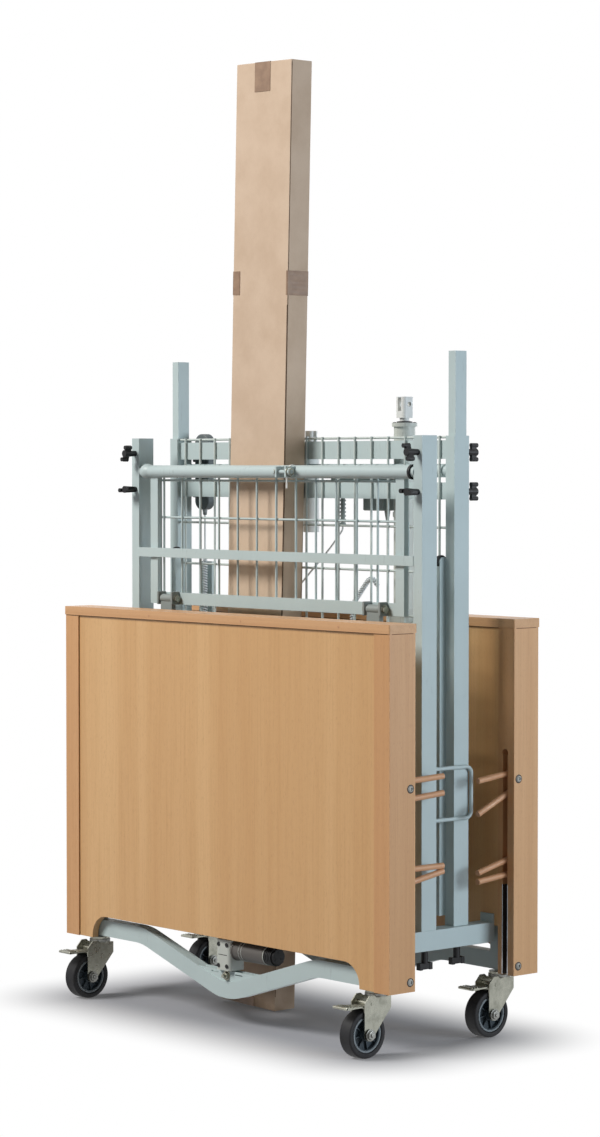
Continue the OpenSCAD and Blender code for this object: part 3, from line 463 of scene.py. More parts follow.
@dataclass(frozen=True)
class Sheath(Finish):
    """Sheath of a cord: smooth soft plastic with a slight bloom."""

    colour: Colour
    bloom: Colour

    def build(self) -> bpy.types.Material:
        """Makes the material.

        Returns:
            The material.
        """
        shader = Shader(self.name)
        cloud = shader.noise(shader.place(), 140.0, 4.0, 0.6)
        skin = shader.noise(shader.place(), 2400.0, 1.0)
        shader.dress(Base_Color=shader.mix(cloud.over(0.55, 0.3), self.colour, self.bloom),
                     Roughness=shader.remap(cloud, 0.3, 0.7, (0.38, 0.55)))
        shader.bump(skin, 0.00004, 0.5)
        return shader.material


# Wood
VENEER = Beech("beech_veneer", "beech_panel", tint(216, 174, 122), tint(202, 156, 103), tint(174, 126, 78))
POST_WOOD = Beech("beech_post", "beech_edge", tint(212, 164, 115), tint(198, 147, 97), tint(170, 117, 73),
                  bands=24.0)
CAP_WOOD = Beech("beech_cap", "beech_edge", tint(214, 168, 122), tint(199, 151, 104), tint(170, 120, 79),
                 grain=Axis.X, bands=30.0)
DOWEL_WOOD = Beech("dowel_beech", "dowel_wood", tint(212, 164, 124), tint(198, 146, 106), tint(162, 111, 74),
                   grain=Axis.Y, bands=60.0, gloss=0.05)
RAIL_WOOD = Beech("rail_beech", "dowel_wood", tint(208, 160, 116), tint(190, 142, 98), tint(160, 110, 72))
# Steel
COAT = PowderCoat("grey_coat", "grey_steel", tint(188, 203, 203), tint(177, 192, 192), tint(158, 170, 170))
DARK_COAT = PowderCoat("hinge_coat", "grey_steel", tint(146, 154, 152), tint(130, 138, 136),
                       tint(162, 168, 166))
SLEEVE = PowderCoat("motor_sleeve", "motor_grey", tint(92, 88, 84), tint(80, 76, 72), tint(120, 118, 114),
                    (0.42, 0.54))
ZINC = Plated("zinc_plate", "zinc", tint(172, 172, 160), tint(128, 127, 116), (0.22, 0.38), 0.92)
BOLT = Plated("bolt_plate", "zinc", tint(150, 150, 146), tint(120, 120, 116), (0.3, 0.46), 0.9)
BRIGHT = Plated("bright_steel_lines", "bright_steel", tint(205, 208, 212), tint(176, 180, 186), (0.14, 0.26))
WIRE_ZINC = PowderCoat("wire_coat", "galvanised_wire", tint(205, 214, 210), tint(186, 197, 193),
                       tint(150, 158, 154), (0.3, 0.42))
# Plastic, rubber and painted motors
TYRE = Moulded("tyre_rubber", "tyre", tint(24, 24, 27), tint(18, 18, 21), tint(66, 65, 62), (0.55, 0.7),
               grain=700.0, depth=0.00015, dusty=0.3)
HUB = Moulded("hub_nylon", "hub", tint(58, 69, 76), tint(46, 55, 61), tint(92, 96, 97))
RIM = Moulded("rim_ring", "hub", tint(138, 145, 148), tint(124, 131, 134), tint(170, 170, 168), (0.34, 0.46))
BLACK = Moulded("black_nylon", "black_plastic", tint(22, 22, 24), tint(15, 15, 17), tint(64, 64, 64),
                (0.36, 0.5), dusty=0.06)
MOTOR = PowderCoat("motor_paint", "motor_grey", tint(194, 198, 191), tint(180, 184, 177), tint(146, 148, 142),
                   (0.38, 0.52))
WHITE = Moulded("white_nylon", "white_plastic", tint(228, 229, 226), tint(214, 216, 213), tint(180, 178, 172),
                (0.34, 0.46))
BOX = Moulded("box_plastic", "dark_plastic", tint(150, 160, 158), tint(136, 146, 144), tint(164, 166, 164))
GREY = Moulded("relief_plastic", "dark_plastic", tint(158, 165, 166), tint(146, 153, 154),
               tint(176, 178, 176))
DARK = Moulded("dark_nylon", "dark_plastic", tint(76, 80, 82), tint(64, 68, 70), tint(110, 112, 110))
SHELL = Moulded("handset_plastic", "handset_shell", tint(98, 105, 107), tint(84, 91, 93), tint(130, 132, 130))
RUBBER = Moulded("keypad_skin", "keypad_rubber", tint(158, 166, 170), tint(144, 152, 156),
                 tint(180, 180, 176), (0.5, 0.62))
MARK = Moulded("keypad_mark", "keypad_rubber", tint(44, 60, 76), tint(38, 52, 66), tint(90, 96, 100))
# Cords and carton, and dark strips of painted shade at the carton's flap, the seams and in the grooves
CORD = Sheath("cord_skin", "cord_sheath", tint(212, 218, 220), tint(220, 225, 226))
CARD = Board("carton_board", "cardboard", tint(208, 184, 160), tint(191, 165, 140), tint(124, 98, 74))
TAPE = Tape("parcel_tape", "cardboard", tint(150, 121, 97), tint(134, 106, 84))
# Dark brown for the carton's open flap: painted shadow in its gap, and its torn edge
GAP_SHADE_AND_EDGE = Moulded("flap_gap_shade_and_edge", "cardboard", tint(96, 72, 52), tint(78, 56, 40), tint(130, 104, 80), (0.7, 0.85))
SHADE = Moulded("seam_shade", "beech_edge", tint(112, 80, 50), tint(96, 66, 40), tint(130, 96, 64),
                (0.6, 0.75))
# Dark finish that paints the shade in the grooves and in the slots between the dowels
GROOVE_SHADE = Moulded("groove_shade", "dowel_wood", tint(46, 38, 32), tint(36, 30, 26), tint(80, 70, 60), (0.7, 0.9))


def soft_normals(mesh: bpy.types.Mesh, sharp: float) -> None:
    """Smooth shading in which large faces stay flat.

    Args:
        mesh: The mesh.
        sharp: Angle in degrees over which an edge stays crisp.
    """
    for name in ("custom_normal", "sharp_face"):
        if name in mesh.attributes:
            mesh.attributes.remove(mesh.attributes[name])
    mesh.shade_smooth()
    mesh.set_sharp_from_angle(angle=math.radians(sharp))
    around: list[list[Vector]] = [[] for _ in mesh.vertices]
    for face in mesh.polygons:
        for corner in face.vertices:
            around[corner].append(face.normal * face.area)
    limit = math.cos(math.radians(sharp))
    normals = []
    for face in mesh.polygons:
        for corner in face.vertices:
            near = [way for way in around[corner] if way.dot(face.normal) > limit * way.length]
            normals.append(sum(near, Vector()).normalized() if near else face.normal.copy())
    mesh.normals_split_custom_set(normals)


class Shape:
    """A mesh under construction, in millimetres, made with bmesh operators."""

    merge = 1e-4
    rounded_over = 0.6

    def __init__(self) -> None:
        """Starts an empty mesh."""
        self.mesh = bmesh.new()

    def bevel(self, edges: Sequence[bmesh.types.BMEdge], radius: float, rounds: int) -> None:
        """Rounds some edges in `rounds` steps."""
        bmesh.ops.bevel(self.mesh, geom=edges, offset=radius, offset_type="OFFSET", segments=rounds,
                        profile=0.5, affect="EDGES", clamp_overlap=True, material=-1)

    def add(self, maker: Callable[..., dict], matrix: Matrix, bevel: float = 0.0, rounds: int = 2,
            **sizes: Any) -> None:
        """Adds one created shape.

        Args:
            maker: A bmesh.ops.create_ operator.
            matrix: Its place.
            bevel: Radius of its rounded edges, or 0.
            rounds: Steps of the rounding.
            sizes: The operator's own sizes.
        """
        made = maker(self.mesh, matrix=matrix, **sizes)["verts"]
        if bevel:
            edges = dict.fromkeys(edge for vert in made for edge in vert.link_edges)
            sharp = [edge for edge in edges if edge.calc_face_angle(0.0) > self.rounded_over]
            self.bevel(sharp, bevel, rounds)

    def box(self, low: Point, high: Point, bevel: float = 0.0, rounds: int = 2) -> None:
        """A block with rounded edges.

        Args:
            low: Its low corner.
            high: Its high corner.
            bevel: Radius of its edges, or 0.
            rounds: Steps of the rounding.
        """
        low, high = Vector(low), Vector(high)
        block = Matrix.Translation((low + high) / 2) @ Matrix.Diagonal((*(high - low), 1))
        self.add(bmesh.ops.create_cube, block, bevel, rounds, size=1.0)

    def rod(self, middle: Point, axis: Axis, length: float, radius: float, bevel: float = 0.0,
            sides: int = 32) -> None:
        """A round or many-sided bar about `middle`, with rounded ends."""
        self.add(bmesh.ops.create_cone, axis.at(middle), bevel, cap_ends=True, segments=sides, radius1=radius,
                 radius2=radius, depth=length)

    def nut(self, middle: Point, axis: Axis, thick: float, radius: float, bevel: float = 0.9) -> None:
        """A hexagon nut or bolt head about `middle`."""
        self.rod(middle, axis, thick, radius, bevel, 6)

    def washer(self, middle: Point, axis: Axis, thick: float, radius: float) -> None:
        """A plain washer about `middle`."""
        self.rod(middle, axis, thick, radius, 0.3, 28)

    def turned(self, profile: Sequence[tuple[float, float]], middle: Point, axis: Axis,
               steps: int) -> None:
        """A closed profile, spun round.

        Args:
            profile: Its points (radius, height).
            middle: Point where the height is 0.
            axis: Direction of the height.
            steps: Steps of the round.
        """
        place = axis.at(middle)
        verts = [self.mesh.verts.new(place @ Vector((r, 0, h))) for r, h in profile]
        edges = [self.mesh.edges.new((a, b)) for a, b in zip(verts, verts[1:] + verts[:1])]
        before = set(self.mesh.verts) - set(verts)
        bmesh.ops.spin(self.mesh, geom=verts + edges, cent=middle, axis=axis.value, angle=2 * math.pi,
                       steps=steps, use_merge=True)
        made = [vert for vert in self.mesh.verts if vert not in before]
        bmesh.ops.remove_doubles(self.mesh, verts=made, dist=self.merge)
        made = [vert for vert in made if vert.is_valid]
        faces = list(dict.fromkeys(face for vert in made for face in vert.link_faces))
        bmesh.ops.recalc_face_normals(self.mesh, faces=faces)

    def bush(self, bore: float, radius: float, length: float, edge: float, middle: Point, axis: Axis,
             steps: int) -> None:
        """A round bush that starts at `middle`, with a bore and its outer edges broken by `edge`."""
        self.turned([(bore, 0), (radius - edge, 0), (radius, 1), (radius, length - 1),
                     (radius - edge, length), (bore, length)], middle, axis, steps)

    def ring(self, middle: Point, axis: Axis, radius: float, thick: float, steps: int,
             sides: int = 8) -> None:
        """A round ring of wire that is `thick` in radius."""
        turns = [2 * math.pi * i / sides for i in range(sides)]
        self.turned([(radius + thick * math.cos(t), thick * math.sin(t)) for t in turns], middle, axis, steps)

    def mirrored(self) -> None:
        """Adds a copy of everything on the other side of X = 0."""
        copied = bmesh.ops.duplicate(self.mesh, geom=self.mesh.faces[:])["geom"]
        verts = [part for part in copied if isinstance(part, bmesh.types.BMVert)]
        faces = [part for part in copied if isinstance(part, bmesh.types.BMFace)]
        bmesh.ops.transform(self.mesh, matrix=Matrix.Diagonal((-1, 1, 1, 1)), verts=verts)
        bmesh.ops.reverse_faces(self.mesh, faces=faces)

    def moved(self, place: Matrix) -> None:
        """Moves everything."""
        bmesh.ops.transform(self.mesh, matrix=place, verts=self.mesh.verts)

    def piece(self, name: str, body: str, finish: Finish, stands_for: Sequence[str] = (),
              sharp: float = 40.0) -> bpy.types.Object:
        """Makes the object, gives it its finish and lets it ride.

        Args:
            name: Name of the piece.
            body: CAD body that it moves with.
            finish: Its finish.
            stands_for: CAD nodes that it replaces.
            sharp: Angle over which an edge stays crisp.

        Returns:
            The object, at the origin, with its place in its mesh.
        """
        bmesh.ops.scale(self.mesh, vec=(MM, MM, MM), verts=self.mesh.verts)
        mesh = bpy.data.meshes.new(name)
        self.mesh.to_mesh(mesh)
        self.mesh.free()
        soft_normals(mesh, sharp)
        made = added(name, mesh)
        mesh.materials.append(finish.material())
        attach(made, body)
        if stands_for:
            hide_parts(*stands_for)
        log.info("%s: %d faces on %s", name, len(mesh.polygons), body)
        return made


class Softened(Shape):
    """A copy of a CAD node with its faces merged and its outer edges rounded."""

    doubles = 2e-3
    flat_under = 0.4
    edges_over = 40.0

    def __init__(self, node: str) -> None:
        """Copies a node.

        Args:
            node: The CAD node's name.
        """
        super().__init__()
        self.node = node
        self.mesh.from_mesh(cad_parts[node].data)
        bmesh.ops.scale(self.mesh, vec=(1 / MM, 1 / MM, 1 / MM), verts=self.mesh.verts)
        bmesh.ops.remove_doubles(self.mesh, verts=self.mesh.verts, dist=self.doubles)
        bmesh.ops.dissolve_limit(self.mesh, angle_limit=math.radians(self.flat_under), verts=self.mesh.verts,
                                 edges=self.mesh.edges, use_dissolve_boundaries=False, delimit={"NORMAL"})

    def round(self, radius: float, longer: float = 0.0, shorter: float = 1e6, rounds: int = 2) -> "Softened":
        """Rounds the convex edges of some lengths.

        Args:
            radius: Radius of the rounding.
            longer: Only edges over this length.
            shorter: Only edges under this length.
            rounds: Steps of the rounding.

        Returns:
            Itself.
        """
        limit = math.radians(self.edges_over)
        edges = [edge for edge in self.mesh.edges
                 if edge.is_manifold and edge.is_convex and edge.calc_face_angle() > limit
                 and longer < edge.calc_length() < shorter]
        self.bevel(edges, radius, rounds)
        return self

    def shown(self, body: str, finish: Finish, sharp: float = 40.0) -> None:
        """Makes the object, which stands for its node."""
        self.piece(self.node + "_skin", body, finish, [self.node], sharp)


def dress_node(node: str, finish: Finish) -> None:
    """Gives a CAD node that stays in view its finish.

    Args:
        node: The CAD node's name.
        finish: Its finish.
    """
    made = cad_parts[node]
    made.data.materials.clear()
    made.data.materials.append(finish.material())
    log.info("%s: %s", node, finish.name)


@dataclass
class EndBoard:
    """One end board, measured in the frame: panels, posts, cap and the dowel guides in its grooves."""

    end: End
    outer: float = field(init=False)
    inner: float = field(init=False)
    half_width: float = field(init=False)
    post_width: float = field(init=False)
    foot: float = field(init=False)
    post_top: float = field(init=False)
    cap_top: float = field(init=False)
    cap_over: float = 2.0
    bolt_heights: tuple[float, float] = (150.0, 525.0)
    bolt_inset: float = 13.0
    plug_at: float = 74.0
    plug_step: float = 300.0
    plug_drop: float = 9.5
    panel_recess: float = 3.0
    post_edge: float = 6.0
    seam_thin: float = 0.25
    seam_half: float = 1.3

    def __post_init__(self) -> None:
        """Takes the sizes from the solids; the rear board faces the other way."""
        low, high = box_of(f"{self.end.value}_right_post")
        self.outer, self.inner = (low.y, high.y) if self.end is End.FRONT else (high.y, low.y)
        self.half_width, self.post_width = high.x, high.x - low.x
        self.foot, self.post_top = low.z, high.z
        self.cap_top = box_of(f"{self.end.value}_cap")[1].z

    def inward(self) -> float:
        """+1 where the inner face looks along +Y, and -1 where it looks along -Y."""
        return 1.0 if self.inner > self.outer else -1.0

    def middle(self) -> float:
        """Place of the board's middle plane along Y."""
        return (self.outer + self.inner) / 2

    def dress(self) -> None:
        """Rounds the wooden pieces and adds plugs, painted shadow lines at the seams and painted shade in the
        grooves.
        """
        end = self.end.value
        for panel in ("outer_panel", "inner_panel"):
            Softened(f"{end}_{panel}").round(1.2).shown("carrier", VENEER)
        for side in SIDES:
            Softened(f"{end}_{side}_post").round(2.6, 300).round(0.5, 0, 299).shown("carrier", POST_WOOD)
            Softened(f"{end}_{side}_rail_guide").round(0.9).shown(f"{end}_{side}_guide", DOWEL_WOOD)
        Softened(f"{end}_cap").round(3.0, 12.0, rounds=3).shown("carrier", CAP_WOOD)
        self.plugs()
        self.seams()
        for side in SIDES:
            Groove(self, side).build()

    def plugs(self) -> None:
        """Wooden plugs over the screws in the cap's edge."""
        plugs = Shape()
        face = self.outer - self.cap_over * self.inward()
        for i in (0, -1, 1):
            spot = (self.plug_at + self.plug_step * i, face, self.cap_top - self.plug_drop)
            plugs.rod(spot, Axis.Y, 1.2, 2.6, 0.4, 16)
        plugs.piece(f"{self.end.value}_cap_plugs", "carrier", DOWEL_WOOD)

    def seams(self) -> None:
        """Dark shadow lines where the panels meet the posts, and under the cap."""
        lines = Shape()
        edge, top = self.half_width - self.post_width, self.post_top
        thin, half, corner = self.seam_thin, self.seam_half, self.post_edge
        for face, way in ((self.outer, self.inward()), (self.inner, -self.inward())):
            y = face + way * self.panel_recess
            for x in (-edge, edge):
                lines.box((x - half, y - thin, self.foot + 3), (x + half, y + thin, top), 0.1, 1)
            lines.box((-edge, y - thin, top - 1.6), (edge, y + thin, top), 0.1, 1)
        front, back = sorted((self.outer, self.inner))
        for side in (-1, 1):
            x = side * self.half_width
            left, right = sorted((side * edge, x - side * corner))
            lines.box((x - thin, front + corner, top - 1.4), (x + thin, back - corner, top), 0.1, 1)
            lines.box((left, self.outer - thin, top - 1.4), (right, self.outer + thin, top), 0.1, 1)
        lines.piece(f"{self.end.value}_seams", "carrier", SHADE)


@dataclass
class Groove:
    """Groove below one dowel guide, with dark sheets of painted shade on its walls and bright edges, and a
    dark strip of painted shade in the slot between the guide's dowels.
    """

    board: EndBoard
    side: str
    plate: float = 8.0
    slot_half: float = 2.8
    slot_ends: tuple[float, float] = (90.0, 52.0)
    depth: float = 21.0
    below: float = 6.0
    wall: float = 0.3
    lip: float = 0.9
    lip_rise: float = 0.35

    def build(self) -> None:
        """Makes the slot's painted shade, which moves with the guide, and the painted shade on the groove
        walls, which stays in the post.
        """
        name, board = f"{self.board.end.value}_{self.side}", self.board
        low, high = box_of(f"{name}_rail_guide")
        face = low.y + self.plate if board.inward() > 0 else high.y - self.plate
        middle, half = (low.x + high.x) / 2, (high.x - low.x) / 2
        slot, shade_sheet, edges = Shape(), Shape(), Shape()
        # Dark strip of painted shade in the slot between the guide's dowels
        slot.box((middle - self.slot_half, face - 0.3, low.z + self.slot_ends[0]),
                 (middle + self.slot_half, face + 0.3, high.z - self.slot_ends[1]), 0.2, 1)
        slot.piece(f"{name}_slot", f"{name}_guide", GROOVE_SHADE)
        near, far = sorted((board.inner - board.inward() * self.depth, board.inner))
        foot, top = board.foot + 1, low.z - self.below
        # Thin dark sheets of painted shade on the groove walls, with bright edges beside them
        for way in (-1, 1):
            wall = middle + way * (half + self.wall)
            lip = wall + way * self.lip
            shade_sheet.box((wall - 0.1, near, foot), (wall + 0.1, far, top))
            edges.box((lip - self.lip, board.inner - self.lip_rise, foot),
                      (lip + self.lip, board.inner + self.lip_rise, top), 0.2, 1)
        shade_sheet.piece(f"{name}_lining", "carrier", GROOVE_SHADE)
        edges.piece(f"{name}_channel", "carrier", BRIGHT)


@dataclass
class BoardBolts:
    """The eight bolts through the posts, each with a washer and a socket."""

    boards: tuple[EndBoard, EndBoard]
    head: float = 7.0
    socket: float = 2.9
    rise: float = 3.0
    rim: float = 1.6
    washer: float = 0.95

    def build(self) -> None:
        """Turns a bolt and its washer at each place."""
        heads, rings = Shape(), Shape()
        for board in self.boards:
            y = board.inner - board.bolt_inset * board.inward()
            for z in board.bolt_heights:
                for side in (-1, 1):
                    self.bolt(heads, rings, side, (side * board.half_width, y, z))
        heads.piece("bolt_heads", "carrier", BOLT, ["board_bolts"], 30)
        rings.piece("bolt_washers", "carrier", BLACK)

    def bolt(self, heads: Shape, rings: Shape, side: int, where: Triple) -> None:
        """One bolt head and washer on a post's side face.

        Args:
            heads: Mesh that takes the heads.
            rings: Mesh that takes the washers.
            side: -1 on the left post, 1 on the right one.
            where: Place on the face.
        """
        r, hole, rise = self.head, self.socket, self.rise
        profile = [(0, -9), (3, -9), (3, 0), (r, 0), (r, 0.9), (r - 1.2, rise - 0.7), (r - 2.4, rise),
                   (hole + 0.5, rise), (hole, rise - 0.5), (hole, 0.8), (0, 0.8)]
        heads.turned([(radius, side * out) for radius, out in profile], where, Axis.X, 30)
        x, y, z = where
        start = x if side > 0 else x - self.washer
        ring = [(r, 0.05), (r + self.rim, 0.05), (r + self.rim, 0.7), (r, 0.9)]
        rings.turned(ring, (start, y, z), Axis.X, 30)


@dataclass
class Chassis:
    """One lifting chassis: bent bar, legs, gearbox, motor and the rod in the board."""

    end: str
    axis: float
    outward: float
    pin_height: float = 101.1
    nut_out: float = 13.2
    pin_out: float = 19.0
    gear_low: float = 113.1
    gear_high: float = 176.0
    gear_x: float = 23.0
    gear_y: float = 21.0
    gear_seam: float = 31.0
    seam_high: float = 1.4
    screw_x: float = 13.0
    screw_high: float = 0.95
    motor_height: float = 156.0
    motor_end: float = 153.0
    motor_radius: float = 20.0

    def body(self) -> str:
        """Name of the body that all of it moves with."""
        return f"{self.end}_chassis"

    def dress(self) -> None:
        """Rounds the steel and adds the fixings of the actuator."""
        Softened(f"{self.end}_chassis").round(1.6, 40).shown(self.body(), COAT, 35)
        Softened(f"{self.end}_lift_actuator").round(1.4, 20).shown(self.body(), MOTOR, 35)
        dress_node(f"{self.end}_lift_rod", BRIGHT)
        self.clevis()
        self.gearbox()
        self.motor()

    def clevis(self) -> None:
        """Clevis bolt with its nuts and washers."""
        metal = Shape()
        for side in (-1, 1):
            y = self.axis + side * self.nut_out
            metal.nut((0, y, self.pin_height), Axis.Y, 6.4, 8.2)
            metal.washer((0, y - side * 2.6, self.pin_height), Axis.Y, 1.6, 10.5)
        metal.rod((0, self.axis + self.outward * self.pin_out, self.pin_height), Axis.Y, 6.0, 3.9, 0.5, 20)
        metal.piece(f"{self.end}_clevis_bolt", self.body(), ZINC, sharp=30)

    def gearbox(self) -> None:
        """Screws and seams of the gearbox."""
        dark = Shape()
        head = [(2.2, 0), (4.6, 0), (4.6, 0.7), (3.9, 1.0), (2.6, 1.0), (2.2, 0.3)]
        low = self.gear_low + self.gear_seam
        high = low + self.seam_high
        for side in (-1, 1):
            face, wall = self.axis + side * self.gear_y, side * self.gear_x
            start = face if side > 0 else face - self.screw_high
            for x in (-self.screw_x, self.screw_x):
                for z in (self.gear_low + 9, self.gear_high - 10):
                    dark.turned(head, (x, start, z), Axis.Y, 18)
                    dark.rod((x, face + side * 0.1, z), Axis.Y, 0.6, 2.3, sides=6)
            dark.box((-14, face - 0.3, low), (14, face + 0.3, high), 0.2)
            dark.box((wall - 0.3, self.axis - 12, low), (wall + 0.3, self.axis + 12, high), 0.2)
        dark.piece(f"{self.end}_gearbox_screws", self.body(), BLACK)

    def motor(self) -> None:
        """Painted sleeve of the motor, its end flange and clips, and the fins at its far end."""
        sleeve, clips, fins = Shape(), Shape(), Shape()
        r, z, end, gear = self.motor_radius, self.motor_height, self.motor_end, self.gear_x
        sleeve.turned([(r - 0.6, 0), (r + 0.35, 0), (r + 0.35, 97.6), (r - 0.4, 98.4), (r - 0.6, 98.4)],
                      (gear + 3.0, self.axis, z), Axis.X, 56)
        flange = [(r - 0.6, 0), (r + 1.5, 0), (r + 1.8, 0.6), (r + 1.8, 4.4), (r + 1.4, 5.0), (r - 0.6, 5.0)]
        sleeve.turned(flange, (gear + 1.0, self.axis, z), Axis.X, 56)
        sleeve.piece(f"{self.end}_motor_sleeve", self.body(), SLEEVE)
        for x in (26, 34):
            clips.ring((gear + x, self.axis, z), Axis.X, r + 0.3, 0.8, 48)
        clips.piece(f"{self.end}_motor_clips", self.body(), MOTOR)
        fins.rod((end - 13.8, self.axis, z), Axis.X, 28.0, r - 3.7, 0.8, 48)
        for i in range(5):
            fins.rod((end - 26.5 + 5 * i, self.axis, z), Axis.X, 3.3, r - 0.8, 0.5, 48)
        for i in range(3):
            turn = math.radians(90 + 120 * i)
            spot = (end, self.axis + 9 * math.cos(turn), z + 9 * math.sin(turn))
            fins.rod(spot, Axis.X, 2.4, 2.6, 0.6, 20)
        fins.piece(f"{self.end}_motor_fins", self.body(), BLACK)


@dataclass
class Storage:
    """Brackets between the boards that carry the two bed halves, with their knobs."""

    def dress(self) -> None:
        """Rounds the brackets and the knobs."""
        for side in SIDES:
            Softened(f"{side}_storage_bracket").round(1.6, 20).shown("carrier", COAT, 35)
        Softened("bracket_knobs").round(1.2, 5).shown("carrier", BLACK, 35)


@dataclass
class Castor:
    """One castor, placed by its tyre in the frame: fork, braked wheel and pedal."""

    corner: str
    hub: Vector = field(init=False)
    trail: float = 36.0
    nut_out: float = 24.9
    rim: float = 32.6
    race: float = 119.0
    pedal: float = 103.4
    pedal_reach: float = 59.0
    ribs: int = 8

    def __post_init__(self) -> None:
        """Finds the middle of the wheel, to a tenth of a millimetre."""
        middle = sum(box_of(f"{self.corner}_tyre"), Vector()) / 2
        self.hub = Vector([round(part, 1) for part in middle])

    def axle(self, dx: float) -> Vector:
        """Point on the axle, `dx` from the wheel's middle."""
        return self.hub + Axis.X.value * dx

    def dress(self) -> None:
        """Dresses the castor's solids and adds its small parts."""
        Softened(f"{self.corner}_fork").round(0.7, 3.0).shown(f"{self.corner}_castor", ZINC, 35)
        Softened(f"{self.corner}_tyre").shown(f"{self.corner}_wheel", TYRE, 60)
        Softened(f"{self.corner}_hub").shown(f"{self.corner}_wheel", HUB, 35)
        Softened(f"{self.corner}_pedal").round(0.8, 4.0).shown(f"{self.corner}_brake", ZINC, 35)
        self.bearing()
        self.wheel_rings()
        self.pedal_lip()

    def bearing(self) -> None:
        """Axle bolt with its nut and washers, and the ball race over the fork's crown."""
        shape = Shape()
        for side in (-1, 1):
            shape.nut(self.axle(side * (self.nut_out + 2.2)), Axis.X, 5.6, 9.4)
            shape.rod(self.axle(side * (self.nut_out - 0.6)), Axis.X, 1.6, 11.6, 0.4)
        shape.rod(self.axle(self.nut_out + 6.0), Axis.X, 4.0, 3.9, 0.6, 20)
        crown = (self.hub.x, self.hub.y + self.trail, self.race)
        shape.bush(15.0, 22.4, 6.4, 0.8, crown, Axis.Z, 48)
        shape.piece(f"{self.corner}_axle_bolt", f"{self.corner}_castor", BOLT, sharp=30)

    def wheel_rings(self) -> None:
        """Pale rim rings, bearing covers and ribs on both faces of the wheel."""
        pale, dark = Shape(), Shape()
        rim = self.rim
        flat = [(rim - 0.8, 0), (rim + 3.0, 0), (rim + 3.0, 0.9), (rim + 2.2, 1.7), (rim, 1.7),
                (rim - 0.8, 0.8)]
        cover = [(7.2, 3.6), (13.5, 3.6), (12.6, 9.5), (7.2, 9.9)]
        for side in (-1, 1):
            pale.turned([(r, side * h) for r, h in flat], self.axle(side * 12.9), Axis.X, 56)
            for i in range(self.ribs):
                turn = Matrix.Rotation(math.radians(360 / self.ribs * i + 11), 4, "X")
                place = Matrix.Translation(self.axle(side * 6.5)) @ turn
                rib = place @ Matrix.Translation((0, 0, 19)) @ Matrix.Diagonal((5.4, 2.4, 22, 1))
                dark.add(bmesh.ops.create_cube, rib, 0.5, size=1.0)
            dark.turned([(r, side * h) for r, h in cover], self.hub, Axis.X, 36)
        pale.piece(f"{self.corner}_rim_rings", f"{self.corner}_wheel", RIM)
        dark.piece(f"{self.corner}_hub_ribs", f"{self.corner}_wheel", HUB)

    def pedal_lip(self) -> None:
        """Rolled lip and pressed grips of the brake pedal."""
        shape = Shape()
        x, front, z = self.hub.x, self.hub.y - self.pedal_reach, self.pedal
        shape.rod((x, front + 1.6, z), Axis.X, 40.0, 2.7, 0.8, 18)
        for i in range(3):
            y = front + 30.0 + 8.0 * i
            shape.box((x - 11, y, z + 0.4), (x + 11, y + 3.4, z + 1.2), 0.35)
        shape.piece(f"{self.corner}_pedal_lip", f"{self.corner}_brake", ZINC)


